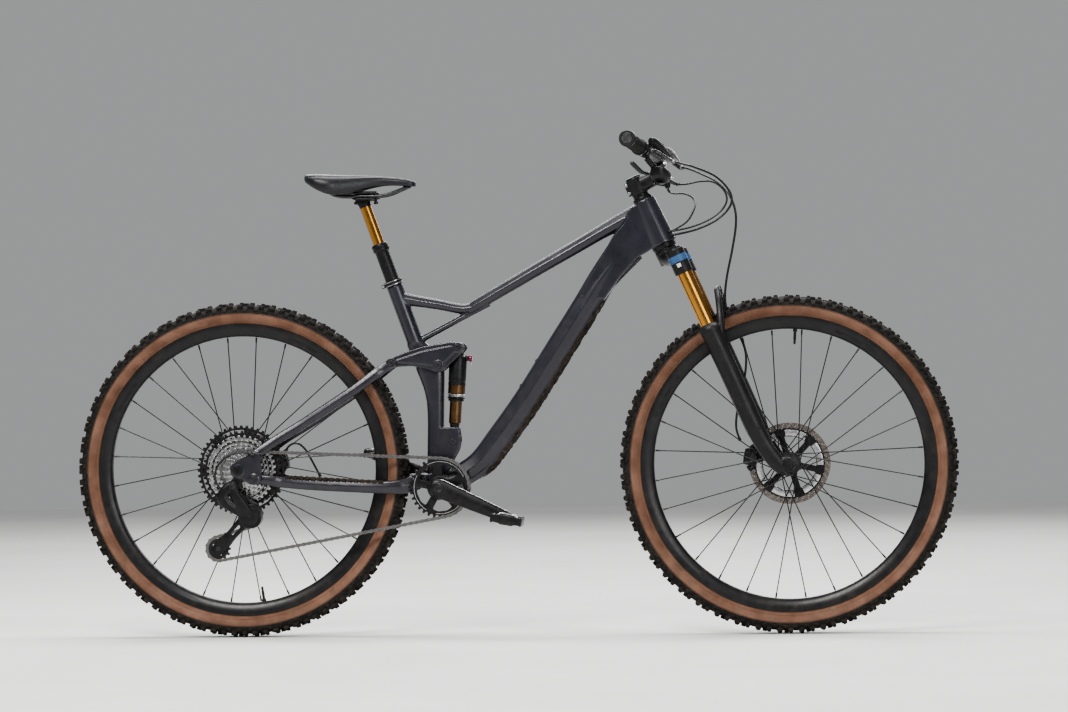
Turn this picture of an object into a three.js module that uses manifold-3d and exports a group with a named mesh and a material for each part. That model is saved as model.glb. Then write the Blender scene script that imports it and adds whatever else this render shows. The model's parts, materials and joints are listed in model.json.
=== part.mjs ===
// A full-suspension mountain bike, in millimetres: +X forward, +Z up, +Y to the rider's left.
// The origin is on the ground, half way between the wheel hubs, in the bike's mid-plane.
import * as THREE from 'three';
import { mergeVertices } from 'three/addons/utils/BufferGeometryUtils.js';
import Module from 'manifold-3d';

const wasm = await Module();
wasm.setup();

// ---------------------------------------------------------------- driving dimensions
const WHEELBASE = 1207;
const TYRE_RADIUS = 370.5;
const BOTTOM_BRACKET = [-160, 328];
const CRANK_LENGTH = 170;
const CRANK_DROOP = 23.5;
const PEDAL_TILT = 10;
const CHAIN_Y = -50.2;
const CHAIN_PITCH = 12.7;
const CHAIN_HALF_HEIGHT = 3.6;
const CHAIN_HALF_WIDTH = 2.5;
const RING_TEETH = 32;
const COG_TEETH = 21;
const PULLEY_TEETH = 13;
const HEAD_ANGLE = 66.3;
const HEAD_TOP = [292, 952.4];
const HEAD_LENGTH = 106;
const FORK_AXLE = { forward: 51.3, up: -658.1 };
const STANCHION = { forward: 20, side: 65, radius: 17 };
const SEAT_ANGLE = 70.5;
const SEAT_TOP = [-261.3, 773];
const MAIN_PIVOT = [-205, 345];
const HORST_PIVOT = [-568, 352];
const STAY_PIVOT = [-266, 603];
const ROCKER_PIVOT = [-163, 596];
const SHOCK_TOP = [-120, 636];
const SHOCK_BOTTOM = [-134, 428];
const GUIDE_PULLEY = [-583, 272];
const TENSION_PULLEY = [-654, 198];
const BAR_HALF_WIDTH = 383;
const GRIP_INNER = 256;
const GAP = 0.35;
const ROUND = 14;

const HUB_HEIGHT = TYRE_RADIUS;
const REAR_HUB = [-WHEELBASE / 2, HUB_HEIGHT];
const FRONT_HUB = [WHEELBASE / 2, HUB_HEIGHT];
const RIM_INNER = 295;
const degrees = THREE.MathUtils.degToRad;
const pitchRadius = (teeth) => CHAIN_PITCH / (2 * Math.sin(Math.PI / teeth));

// ---------------------------------------------------------------- frames of reference
// forward, side and up from the top of the head tube, along and across the steering axis
const steering = new THREE.Matrix4()
  .makeRotationY(degrees(HEAD_ANGLE - 90))
  .setPosition(HEAD_TOP[0], 0, HEAD_TOP[1]);
// the same from the top of the seat tube, along the seat post
const seating = new THREE.Matrix4()
  .makeRotationY(degrees(SEAT_ANGLE - 90))
  .setPosition(SEAT_TOP[0], 0, SEAT_TOP[1]);

const inFrame = (matrix, points) =>
  points.map((p) => new THREE.Vector3(...p).applyMatrix4(matrix).toArray());
const mirrored = (points) => points.map(([x, y, z]) => [x, -y, z]);

// ---------------------------------------------------------------- solids
function tidy(geometry) {
  const bare = geometry.clone();
  bare.deleteAttribute('normal');
  bare.deleteAttribute('uv');
  const merged = mergeVertices(bare, 1e-4);
  const p = merged.getAttribute('position');
  const old = merged.getIndex().array;
  const kept = [];
  for (let i = 0; i < old.length; i += 3) {
    const [a, b, c] = [old[i], old[i + 1], old[i + 2]];
    if (a !== b && b !== c && c !== a) kept.push(a, b, c);
  }
  let volume = 0;
  const [va, vb, vc] = [new THREE.Vector3(), new THREE.Vector3(), new THREE.Vector3()];
  for (let i = 0; i < kept.length; i += 3) {
    va.fromBufferAttribute(p, kept[i]);
    vb.fromBufferAttribute(p, kept[i + 1]);
    vc.fromBufferAttribute(p, kept[i + 2]);
    volume += va.dot(vb.cross(vc));
  }
  if (volume < 0) kept.reverse();
  merged.setIndex(kept);
  return merged;
}

function toManifold(geometry) {
  const g = tidy(geometry);
  const vertProperties = new Float32Array(g.getAttribute('position').array);
  const triVerts = new Uint32Array(g.getIndex().array);
  return new wasm.Manifold(new wasm.Mesh({ numProp: 3, vertProperties, triVerts }));
}

function toGeometry(manifold) {
  const mesh = manifold.getMesh();
  const g = new THREE.BufferGeometry();
  g.setAttribute('position', new THREE.BufferAttribute(new Float32Array(mesh.vertProperties), 3));
  g.setIndex(Array.from(mesh.triVerts));
  return g;
}

const join = (...pieces) =>
  toGeometry(pieces.map(toManifold).reduce((whole, piece) => whole.add(piece)));
const cut = (base, ...tools) =>
  toGeometry(tools.map(toManifold).reduce((rest, tool) => rest.subtract(tool), toManifold(base)));

// ---------------------------------------------------------------- shapes
// a round bar, or a cone when endRadius differs, between two points
function rod(from, to, radius, sides = 12, endRadius = radius) {
  const a = new THREE.Vector3(...from);
  const b = new THREE.Vector3(...to);
  const axis = b.clone().sub(a);
  const g = new THREE.CylinderGeometry(endRadius, radius, axis.length(), sides);
  g.applyQuaternion(new THREE.Quaternion().setFromUnitVectors(
    new THREE.Vector3(0, 1, 0), axis.clone().normalize()));
  const middle = a.add(b).multiplyScalar(0.5);
  return g.translate(middle.x, middle.y, middle.z);
}

// a round bar across the bike, centred on [x, z]
const crossBar = ([x, z], y0, y1, radius, sides = 12) => rod([x, y0, z], [x, y1, z], radius, sides);

function block(x0, x1, y0, y1, z0, z1) {
  const g = new THREE.BoxGeometry(x1 - x0, y1 - y0, z1 - z0);
  return g.translate((x0 + x1) / 2, (y0 + y1) / 2, (z0 + z1) / 2);
}

// a flat plate with its outline in the XZ plane, between y0 and y1
function plate(outline, y0, y1, holes = []) {
  const path = (points) => {
    const vectors = points.map(([x, z]) => new THREE.Vector2(x, z));
    return THREE.ShapeUtils.isClockWise(vectors) ? vectors.reverse() : vectors;
  };
  const shape = new THREE.Shape(path(outline));
  shape.holes = holes.map((hole) => new THREE.Path(path(hole)));
  const g = new THREE.ExtrudeGeometry(shape, { depth: y1 - y0, bevelEnabled: false });
  return g.rotateX(Math.PI / 2).translate(0, y1, 0);
}

const circle = ([x, z], radius, count, start = 0) =>
  Array.from({ length: count }, (_, i) => {
    const a = start + (i / count) * 2 * Math.PI;
    return [x + radius * Math.cos(a), z + radius * Math.sin(a)];
  });

// a body turned about the Y axis from a closed profile of [radius, y]
function turned(profile, sides, start = 0) {
  const points = profile.map(([r, y]) => new THREE.Vector2(r, y));
  if (profile[0][0] !== 0) points.push(points[0].clone());
  return new THREE.LatheGeometry(points, sides, start);
}

// the same about the Z axis, from [radius, z]
const turnedUp = (profile, sides) => turned(profile, sides).rotateX(Math.PI / 2);

// one closed skin through rings that have equal numbers of points, with flat ends
function loft(rings) {
  const count = rings[0].length;
  const position = rings.flat().flat();
  const index = [];
  for (let r = 0; r + 1 < rings.length; r += 1) {
    for (let i = 0; i < count; i += 1) {
      const a = r * count + i;
      const b = r * count + ((i + 1) % count);
      index.push(a, b, b + count, a, b + count, a + count);
    }
  }
  [0, rings.length - 1].forEach((r) => {
    const ring = rings[r];
    const centre = [0, 1, 2].map((k) => ring.reduce((sum, p) => sum + p[k], 0) / count);
    const middle = position.length / 3;
    position.push(...centre);
    for (let i = 0; i < count; i += 1) {
      const a = r * count + i;
      const b = r * count + ((i + 1) % count);
      if (r === 0) index.push(b, a, middle);
      else index.push(a, b, middle);
    }
  });
  const g = new THREE.BufferGeometry();
  g.setAttribute('position', new THREE.BufferAttribute(new Float32Array(position), 3));
  g.setIndex(index);
  return g;
}

// an oval ring; squareness 1 is an ellipse and smaller values are squarer
function oval(centre, across, upward, halfAcross, halfUp, count, squareness) {
  const soften = (v) => Math.sign(v) * Math.abs(v) ** squareness;
  return Array.from({ length: count }, (_, i) => {
    const angle = ((i + 0.5) / count) * 2 * Math.PI;
    return new THREE.Vector3(...centre)
      .addScaledVector(across, halfAcross * soften(Math.cos(angle)))
      .addScaledVector(upward, halfUp * soften(Math.sin(angle)))
      .toArray();
  });
}

// a tube along points; each section is [half width along `across`, half depth, squareness]
function tube(path, sections, count = 8, across = [0, 1, 0]) {
  const points = path.map((p) => new THREE.Vector3(...p));
  const side = new THREE.Vector3(...across);
  return loft(points.map((p, i) => {
    const before = points[Math.max(i - 1, 0)];
    const after = points[Math.min(i + 1, points.length - 1)];
    const tangent = after.clone().sub(before).normalize();
    const flat = side.clone().addScaledVector(tangent, -side.dot(tangent)).normalize();
    const [halfAcross, halfUp, squareness = 1] = sections[Math.min(i, sections.length - 1)];
    return oval(p.toArray(), flat, tangent.clone().cross(flat), halfAcross, halfUp, count, squareness);
  }));
}

// a round hose along a smooth curve through the points
function hose(points, radius, steps) {
  const curve = new THREE.CatmullRomCurve3(points.map((p) => new THREE.Vector3(...p)));
  const section = new THREE.Shape(circle([0, 0], radius, 6).map(([x, y]) => new THREE.Vector2(x, y)));
  return new THREE.ExtrudeGeometry(section, { steps, extrudePath: curve, bevelEnabled: false });
}

// ---------------------------------------------------------------- materials
const finish = (color, roughness, metalness) =>
  new THREE.MeshStandardMaterial({ color, roughness, metalness });
const FRAME_PAINT = finish(0x24242c, 0.45, 0.1);
const BLACK_ALLOY = finish(0x16161a, 0.4, 0.8);
const FORK_PAINT = finish(0x141417, 0.5, 0.2);
const GOLD = finish(0xb9812e, 0.28, 0.9);
const STEEL = finish(0xb4b4b8, 0.3, 1);
const DARK_STEEL = finish(0x3c3c40, 0.4, 0.9);
const RUBBER = finish(0x171615, 0.85, 0);
const TAN = finish(0x7a4426, 0.7, 0);
const PLASTIC = finish(0x101012, 0.55, 0);
const CORD = finish(0x0c0c0d, 0.5, 0);

const bike = new THREE.Group();

function group(name, position, rotationY = 0) {
  const g = new THREE.Group();
  g.position.set(...position);
  g.rotation.y = rotationY;
  bike.add(g);
  return g;
}

function add(name, geometry, material, parent = bike) {
  const mesh = new THREE.Mesh(tidy(geometry), material);
  mesh.name = name;
  parent.add(mesh);
}

// ---------------------------------------------------------------- front triangle
function seatTube() {
  const bend = [650, 615, 590, 515, 400, 345];
  const back = [-238, -224, -215, -193, -193, -195];
  const front = [-203, -170, -153, -154, -155, -140];
  const rings = bend.map((z, i) => oval(
    [(back[i] + front[i]) / 2, 0, z], new THREE.Vector3(0, 1, 0), new THREE.Vector3(1, 0, 0),
    17, (front[i] - back[i]) / 2, 8, 0.75));
  const [upperEnd, top] = inFrame(seating, [[0, 0, -135], [0, 0, 0]]);
  return join(loft(rings), rod(upperEnd, top, 18.2, ROUND));
}

function downTube() {
  const path = [
    [-152, 0, 336], [-108.5, 0, 357], [-72.4, 0, 383], [-35.2, 0, 429],
    [28.7, 0, 516.2], [161.8, 0, 721.2], [201, 0, 781], [258, 0, 851],
  ];
  return tube(path, [
    [27, 26, 0.7], [28, 27, 0.7], [28, 28, 0.7], [28, 29, 0.7],
    [27, 29, 0.7], [26, 29.4, 0.7], [25, 31, 0.7], [23, 38, 0.7],
  ]);
}

function topTube() {
  const front = tube([[-98, 0, 716], [-62, 0, 737], [203, 0, 886], [282, 0, 925]],
    [[15, 11.5, 0.7], [17, 13.5, 0.7], [18, 14.5, 0.7], [20, 18, 0.7]]);
  const rear = tube([[-250, 0, 745], [-228, 0, 741.5], [-105, 0, 719.5], [-62, 0, 735]],
    [[16, 14, 0.7], [15, 12, 0.7], [15, 11, 0.7], [15, 11, 0.7]]);
  const strut = tube([[-225, 0, 643], [-110, 0, 701], [-52, 0, 731]],
    [[9, 7, 0.8], [9, 6.5, 0.8], [12, 8, 0.8]], 8);
  return join(front, rear, strut);
}

function headTube() {
  const outside = rod([0, 0, -HEAD_LENGTH], [0, 0, 0], 32, ROUND, 27).applyMatrix4(steering);
  const gusset = plate([
    [268, 939], [296, 950], [354, 868], [318, 851], [308, 843], [281, 828],
    [240, 785], [205, 736], [150, 745], [213, 853], [228, 878], [252, 905],
  ], -21, 21);
  return join(outside, gusset);
}

function bottomBracketAndTower() {
  const shell = crossBar(BOTTOM_BRACKET, -45, 45, 25, ROUND);
  const web = block(-212, -165, -19.5, 19.5, 333, 357);
  const boss = crossBar(MAIN_PIVOT, -19.5, 19.5, 11.5);
  const outline = [[-160, 460], [-121, 460], [-119, 430], [-126, 412], [-140, 390], [-150, 340], [-175, 345]];
  const towers = [-1, 1].map((side) => plate(outline, side > 0 ? 11 : -17, side > 0 ? 17 : -11));
  const shockBolt = crossBar(SHOCK_BOTTOM, -17, 17, 5, 12);
  return join(shell, web, boss, ...towers, shockBolt);
}

// where the bottle-cage bosses stand on the upper face of the down tube: [centre, outward direction]
const BOSS_NORMAL = [-0.8388, 0, 0.5445];
const BOSSES = [[51.8, 0, 604], [16.5, 0, 549.7]];

function bottleBosses() {
  return BOSSES.map((p) => {
    const foot = p.map((v, k) => v - BOSS_NORMAL[k] * 8);
    return rod(foot, p, 6.5, 12);
  });
}

function mainFrame() {
  const solid = join(seatTube(), downTube(), topTube(), headTube(), bottomBracketAndTower(), ...bottleBosses());
  const [headLow, headHigh] = inFrame(steering, [[0, 0, -HEAD_LENGTH - 20], [0, 0, 20]]);
  const [under, underEnd, over, overEnd] = inFrame(steering,
    [[0, 0, -HEAD_LENGTH - 0.15], [0, 0, -HEAD_LENGTH - 40], [0, 0, 0.15], [0, 0, 40]]);
  const [postLow, postHigh] = inFrame(seating, [[0, 0, -125], [0, 0, 20]]);
  return cut(solid,
    rod(under, underEnd, 70, ROUND),
    rod(over, overEnd, 70, ROUND),
    rod(headLow, headHigh, 18, ROUND),
    rod(postLow, postHigh, 15.9, ROUND),
    crossBar(BOTTOM_BRACKET, -60, 60, 12.6),
    crossBar(MAIN_PIVOT, -30, 30, 6.5, 12),
    crossBar(ROCKER_PIVOT, -30, 30, 7.5, 12));
}

add('main_frame', mainFrame(), FRAME_PAINT);

const upperCup = turnedUp([[17.7, -12], [17.7, 0.35], [22, 0.35], [20, 8], [17.5, 8.3], [17.5, 13.6], [14.7, 13.6], [14.7, -12]], ROUND);
const lowerCup = turnedUp([[17.7, -96], [17.7, -106.35], [27, -106.35], [26, -116], [14.7, -116], [14.7, -96]], ROUND);
add('headset_upper_cup', upperCup.applyMatrix4(steering), BLACK_ALLOY);
add('headset_lower_cup', lowerCup.applyMatrix4(steering), BLACK_ALLOY);

// ---------------------------------------------------------------- seat post and saddle
const collarRing = turnedUp([[16, 0.4], [21, 0.4], [21, 12], [16, 12]], ROUND);
const collarLug = block(-27, -19, -7, 7, 2, 11);
add('seat_collar', join(collarRing, collarLug).applyMatrix4(seating), BLACK_ALLOY);

const outerPost = turnedUp([
  [0, -120], [15.5, -120], [15.5, 80], [18.5, 83], [18.5, 97], [16, 99], [12.9, 99], [12.9, -56], [0, -56],
], ROUND);
add('seatpost_outer', outerPost.applyMatrix4(seating), BLACK_ALLOY);

const SADDLE_CLAMP = inFrame(seating, [[0, 0, 200]])[0];

function postHead() {
  const [x, , z] = SADDLE_CLAMP;
  const stem = rod([0, 0, 48], [0, 0, 198], 12.5, ROUND).applyMatrix4(seating);
  const barrel = rod([x, -18, z], [x, 18, z], 11.5, 12);
  const neck = block(x - 10, x + 10, -10, 10, z, 978);
  const topPlate = block(x - 24, x + 24, -27, 27, 976.2, 981);
  return join(stem, barrel, neck, topPlate);
}

add('seatpost_stanchion', postHead(), GOLD);

function saddleRails() {
  const half = [
    [-420, 34, 994], [-404, 30, 984], [-388, 24, 973.5], [-370, 22, 971.5],
    [-290, 22, 971.5], [-268, 20, 975], [-245, 14, 984], [-228, 6, 989.5],
  ];
  const bend = rod([-228, -9, 989.5], [-228, 9, 989.5], 4, 8);
  return join(tube(half, [[3.5, 3.5]], 8), tube(mirrored(half), [[3.5, 3.5]], 8), bend);
}

add('saddle_rails', saddleRails(), STEEL);

function saddle() {
  // station: x, half width, height of the top, depth of the side
  const stations = [
    [-456, 30, 1019, 10], [-448, 52, 1020.5, 18], [-425, 68, 1020.5, 34], [-395, 69, 1019, 44],
    [-360, 52, 1017.5, 38], [-320, 34, 1016.5, 26], [-280, 24, 1014, 17], [-240, 20, 1009, 15],
    [-220, 16, 1005, 13], [-211.5, 9, 1001, 8],
  ];
  const rings = stations.map(([x, w, top, side]) => {
    const under = Math.min(side - 2, 14);
    const half = [[0, top - 1], [w * 0.5, top], [w * 0.86, top - side * 0.2], [w, top - side * 0.6], [w - 1, top - side],
      [w - 5, top - side + 1], [w * 0.55, top - under], [0, top - under]];
    const other = half.slice(1, -1).reverse().map(([y, z]) => [-y, z]);
    return [...half, ...other].map(([y, z]) => [x, y, z]);
  });
  return loft(rings);
}

add('saddle', saddle(), PLASTIC);

// ---------------------------------------------------------------- rear suspension
function rocker() {
  const outline = [
    [-274, 594], [-279, 604], [-272, 611.5], [-200, 637], [-134, 647.5], [-108, 644], [-104, 634],
    [-112, 622], [-148, 588], [-158, 582], [-170, 582], [-180, 588], [-222, 596],
  ];
  const left = plate(outline, 20, 29);
  const right = plate(outline, -29, -20);
  const bridge = crossBar([-150, 628], -21, 21, 7, 12);
  const axle = crossBar(ROCKER_PIVOT, -33, 33, 7, 12);
  return join(left, right, bridge, axle);
}

add('rocker_link', rocker(), BLACK_ALLOY);

function seatstay(side) {
  const path = [
    [-266, 34, 603], [-285, 36, 590.5], [-305, 42, 576], [-348, 48, 544.5], [-430, 54, 491.5],
    [-520, 63, 436.5], [-560, 73, 409], [-585, 78, 392],
  ].map(([x, y, z]) => [x, side * y, z]);
  const stay = tube(path, [
    [3.6, 9], [4.2, 10.5, 0.8], [5.8, 11.5, 0.8], [7, 11, 0.8], [7, 11, 0.8], [6.5, 10.5, 0.8], [4.5, 10, 0.8], [3.6, 11, 0.8],
  ]);
  const eye = crossBar(STAY_PIVOT, side * 30.2, side * 38, 10.5);
  const dropoutOutline = [
    [-620, 380], [-596, 396], [-566, 412], [-553, 404], [-553, 350], [-560, 341], [-577, 341],
    [-592, 352], [-603, 352], [-617, 360],
  ];
  const [inner, outer] = [side * 74.5, side * 82].sort((a, b) => a - b);
  const dropout = plate(dropoutOutline, inner, outer);
  const hanger = side < 0 ? [plate([[-603, 360], [-590, 352], [-602, 330], [-614, 326], [-624, 334], [-618, 348]], inner, outer)] : [];
  const boltHead = crossBar(HORST_PIVOT, side * 80, side * 84.5, 9, 12);
  return cut(join(stay, eye, dropout, boltHead, ...hanger), crossBar(REAR_HUB, -90, 90, 6.4));
}

add('seatstay_right', seatstay(-1), FRAME_PAINT);
add('seatstay_left', seatstay(1), FRAME_PAINT);

function chainstay() {
  const half = [
    [-221, 29, 345], [-233, 36, 339], [-250, 41, 333], [-330, 45, 331], [-430, 50, 336],
    [-500, 57, 342], [-530, 67, 346.5], [-568, 69.2, 352],
  ];
  const sections = [[7, 12, 0.8], [6, 13, 0.8], [6.5, 13.5, 0.8], [8, 13, 0.8], [7.5, 12.5, 0.8],
    [6.5, 12, 0.8], [4.2, 11, 0.8], [3.8, 9, 1]];
  const stays = [half, mirrored(half)].map((path) => tube(path, sections));
  const eyes = [-1, 1].map((side) => crossBar(HORST_PIVOT, side * 65.5, side * 73.2, 10.5));
  const shells = [-1, 1].map((side) => crossBar(MAIN_PIVOT, side * 20.5, side * 35, 12.5));
  const yoke = block(-231.5, -218, -34, 34, 334, 357);
  const axle = crossBar(MAIN_PIVOT, -36, 36, 6, 12);
  return join(...stays, ...eyes, ...shells, yoke, axle);
}

add('chainstay', chainstay(), FRAME_PAINT);

const rearAxle = join(crossBar(REAR_HUB, -86, 86, 6), crossBar(REAR_HUB, -88.5, -82.4, 9));
add('rear_axle', rearAxle, BLACK_ALLOY);

// the shock's own axis, from its lower eyelet to its upper one
const shockAxis = new THREE.Vector2(SHOCK_TOP[0] - SHOCK_BOTTOM[0], SHOCK_TOP[1] - SHOCK_BOTTOM[1]);
const SHOCK_LENGTH = shockAxis.length();
const shocking = new THREE.Matrix4()
  .makeRotationY(Math.PI / 2 - shockAxis.angle())
  .setPosition(SHOCK_BOTTOM[0], 0, SHOCK_BOTTOM[1]);

function shockCan() {
  const top = SHOCK_LENGTH;
  const body = turnedUp([[0, 88], [13, 88], [17, 90], [19, 93], [19, 104], [19.4, 106], [19.4, top - 26], [15, top - 18], [0, top - 18]], ROUND);
  const eye = rod([0, -18.5, top], [0, 18.5, top], 8.5, 14);
  const head = rod([0, 0, top - 20], [0, 0, top], 13, 12);
  const knobPost = rod([0, 0, top - 24], [24, 0, top - 24], 6, 10);
  const bore = rod([0, 0, 60], [0, 0, 172], 14.1, ROUND);
  return cut(join(body, eye, head, knobPost), bore).applyMatrix4(shocking);
}

add('shock_can', shockCan(), BLACK_ALLOY);

const shockEye = rod([0, -10.4, 0], [0, 10.4, 0], 12);
const shockNeck = block(-9, 9, -10.4, 10.4, 0, 40);
const shockRod = rod([0, 0, 36], [0, 0, 118], 13.5, ROUND);
const shockBore = rod([0, -20, 0], [0, 20, 0], 5.4, 12);
add('shock_shaft', cut(join(shockEye, shockNeck, shockRod), shockBore).applyMatrix4(shocking), GOLD);

const LEVER_HEIGHT = SHOCK_LENGTH - 24;
const shockLever = join(
  rod([24.4, 0, LEVER_HEIGHT], [31, 0, LEVER_HEIGHT], 7.5, 12),
  block(25, 30.5, -3, 3, LEVER_HEIGHT - 16, LEVER_HEIGHT));
add('shock_lever', shockLever.applyMatrix4(shocking), STEEL);

// ---------------------------------------------------------------- wheels
const TREAD_SEGMENTS = 32;
const FLAT = Math.cos(Math.PI / TREAD_SEGMENTS);
// half a segment of turn puts a flat facet of the ring at the bottom
const facetDown = (profile) => turned(
  profile.map(([r, y]) => [r / FLAT, y]), TREAD_SEGMENTS, Math.PI / TREAD_SEGMENTS);

function tyre() {
  const outside = [[323, -16.5], [346, -29.5], [370.5, -12], [370.5, 12], [346, 29.5], [323, 16.5]];
  const inside = [[323, 12.5], [346, 24.5], [363, 0], [346, -24.5], [323, -12.5]];
  return facetDown([...outside, ...inside]);
}

const rim = () => facetDown([[RIM_INNER, -7], [306, -15], [322.5, -17], [322.5, 17], [306, 15], [RIM_INNER, 7]]);

// 28 spokes, crossing in pairs, from the two flanges to the rim
function spokes(flanges) {
  const bars = [];
  for (let i = 0; i < 28; i += 1) {
    const left = i % 2;
    const lean = i % 4 < 2 ? 1 : -1;
    const foot = (i / 28) * 2 * Math.PI + 0.11;
    const head = foot + lean * 1.25;
    const y = flanges[left] + lean * 1.3;
    const from = [Math.sin(head) * 22, y, Math.cos(head) * 22];
    const to = [Math.sin(foot) * 294.2, left ? 4 : -4, Math.cos(foot) * 294.2];
    bars.push(rod(from, to, 1.4, 3));
  }
  return bars;
}

function hub(profile, flanges, boreRadius) {
  const shell = turned([[0, profile[0][1]], ...profile, [0, profile.at(-1)[1]]], 12);
  const bore = rod([0, -90, 0], [0, 90, 0], boreRadius, 12);
  return cut(join(shell, ...spokes(flanges)), bore);
}

// openings between the arms of a thin wheel; inner and outer are [radius, half angle]
function windows(count, turn, inner, outer) {
  return Array.from({ length: count }, (_, i) => {
    const a = (i / count) * 2 * Math.PI + turn;
    const corners = [[inner[0], -inner[1]], [outer[0], -outer[1]], [outer[0] * 1.03, 0], [outer[0], outer[1]], [inner[0], inner[1]]];
    return corners.map(([r, half]) => [r * Math.cos(a + half), r * Math.sin(a + half)]);
  });
}

// a brake rotor: braking band, six arms and a carrier round the hub
function rotor(radius, y, innerRadius) {
  const holes = windows(6, 0.3, [innerRadius + 12, 0.3], [radius - 16, 0.44]);
  return plate(circle([0, 0], radius, 28), y - 0.9, y + 0.9, [circle([0, 0], innerRadius, 12), ...holes]);
}

const frontWheel = group('front_wheel', [FRONT_HUB[0], 0, FRONT_HUB[1]]);
add('front_tyre', tyre(), RUBBER, frontWheel);
add('front_rim', rim(), BLACK_ALLOY, frontWheel);
add('front_hub', hub([
  [10, -54.7], [10, -34], [25, -33], [25, -29], [12, -26], [12, 20], [25, 24], [25, 28], [15, 30], [15, 54.7],
], [-31, 26], 7.9), BLACK_ALLOY, frontWheel);
add('front_rotor', rotor(90, 44, 15.5), STEEL, frontWheel);

const rearWheel = group('rear_wheel', [REAR_HUB[0], 0, REAR_HUB[1]]);
add('rear_tyre', tyre(), RUBBER, rearWheel);
add('rear_rim', rim(), BLACK_ALLOY, rearWheel);
add('rear_hub', hub([
  [10, -73.9], [10, -71], [17.3, -70.9], [17.3, -27.5], [27, -26], [27, -22], [14, -19], [14, 27], [27, 30], [27, 34], [15.5, 37],
  [15.5, 61], [11, 62], [11, 73.9],
], [-24, 32], 6.4), BLACK_ALLOY, rearWheel);
add('rear_rotor', rotor(80, 58.2, 16), STEEL, rearWheel);

// ---------------------------------------------------------------- drivetrain
function cassette() {
  // outer faces of the groups of cogs: y where the group starts, and its radius
  const steps = [[-70.3, 27], [-60, 38.3], [-47.3, 57], [-41.2, 76], [-34, 98]];
  const outside = steps.flatMap(([y, r], i) => [[r, y], [r, i + 1 < steps.length ? steps[i + 1][0] : -27.9]]);
  return turned([...outside, [17.7, -27.9], [17.7, -70.3]], 24);
}

add('cassette', cassette(), STEEL, rearWheel);

const crankset = group('crankset', [BOTTOM_BRACKET[0], 0, BOTTOM_BRACKET[1]], degrees(CRANK_DROOP));
const RING_RADIUS = pitchRadius(RING_TEETH) - 4.4;

function chainring() {
  const holes = windows(5, 0.2, [26, 0.36], [49, 0.46]);
  return plate(circle([0, 0], RING_RADIUS, 28), CHAIN_Y - 1.6, CHAIN_Y + 1.6,
    [circle([0, 0], 17.2, 12), ...holes]);
}

add('chainring', chainring(), BLACK_ALLOY, crankset);

// a crank arm along +X from the spindle, between its inner face and outer face
function crankArm(side) {
  const stations = [
    [-18, 11, 66, 80], [-8, 20, 65, 82], [4, 22, 65, 82], [30, 21, 67, 83], [90, 18.5, 70, 85],
    [150, 15, 72, 86.5], [172, 13, 72, 86.5], [182, 7, 73, 85],
  ];
  const rings = stations.map(([x, half, inner, outer]) => oval(
    [x, (side * (inner + outer)) / 2, 0], new THREE.Vector3(0, 1, 0), new THREE.Vector3(0, 0, 1),
    (outer - inner) / 2, half, 8, 0.6));
  return loft(rings);
}

const pedalBore = (x, side) => rod([x, side * 60, 0], [x, side * 100, 0], 4.8, 12);
const spindle = rod([0, -80, 0], [0, 66, 0], 12);
const spiderBoss = rod([0, -68, 0], [0, CHAIN_Y + 2.5, 0], 16.6);
add('crank_arm_right', cut(join(crankArm(-1), spindle, spiderBoss), pedalBore(CRANK_LENGTH, -1)), BLACK_ALLOY, crankset);
const leftArm = crankArm(1).rotateY(Math.PI);
add('crank_arm_left', cut(leftArm, rod([0, 60, 0], [0, 66.5, 0], 12.6), pedalBore(-CRANK_LENGTH, 1)), BLACK_ALLOY, crankset);

function pedal(side) {
  const y = (v) => side * v;
  const between = (a, b) => [y(a), y(b)].sort((p, q) => p - q);
  const axle = rod([0, y(75), 0], [0, y(100), 0], 4.4, 12);
  const hubBody = rod([0, y(90), 0], [0, y(158), 0], 10, 12);
  const [y0, y1] = between(97, 160);
  const cage = block(-35, 35, y0, y1, -7.5, 7.5);
  const [h0, h1] = between(105, 152);
  const slots = [block(-28, -14, h0, h1, -20, 20), block(14, 28, h0, h1, -20, 20)];
  const [c0, c1] = between(110, 148);
  const cleat = block(-24, 24, c0, c1, -13, 13);
  return join(cut(join(cage, cleat), ...slots), axle, hubBody);
}

function placePedal(name, side) {
  const angle = degrees(CRANK_DROOP);
  const reach = side < 0 ? CRANK_LENGTH : -CRANK_LENGTH;
  const [x, z] = BOTTOM_BRACKET;
  const holder = group(name, [x + reach * Math.cos(angle), 0, z - reach * Math.sin(angle)], degrees(PEDAL_TILT));
  add(name, pedal(side), BLACK_ALLOY, holder);
}

placePedal('pedal_right', -1);
placePedal('pedal_left', 1);

// the chain's pitch line round its four wheels; turn is 1 anticlockwise and -1 clockwise,
// as seen from the drive side
const CHAIN_WHEELS = [
  { centre: BOTTOM_BRACKET, radius: pitchRadius(RING_TEETH), turn: -1 },
  { centre: TENSION_PULLEY, radius: pitchRadius(PULLEY_TEETH), turn: -1 },
  { centre: GUIDE_PULLEY, radius: pitchRadius(PULLEY_TEETH), turn: 1 },
  { centre: REAR_HUB, radius: pitchRadius(COG_TEETH), turn: -1 },
];

// heading of the straight run from one chain wheel to the next
function runHeading(from, to) {
  const dx = to.centre[0] - from.centre[0];
  const dz = to.centre[1] - from.centre[1];
  const lead = (from.turn * from.radius - to.turn * to.radius) / Math.hypot(dx, dz);
  return Math.atan2(dz, dx) + Math.asin(lead);
}

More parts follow.
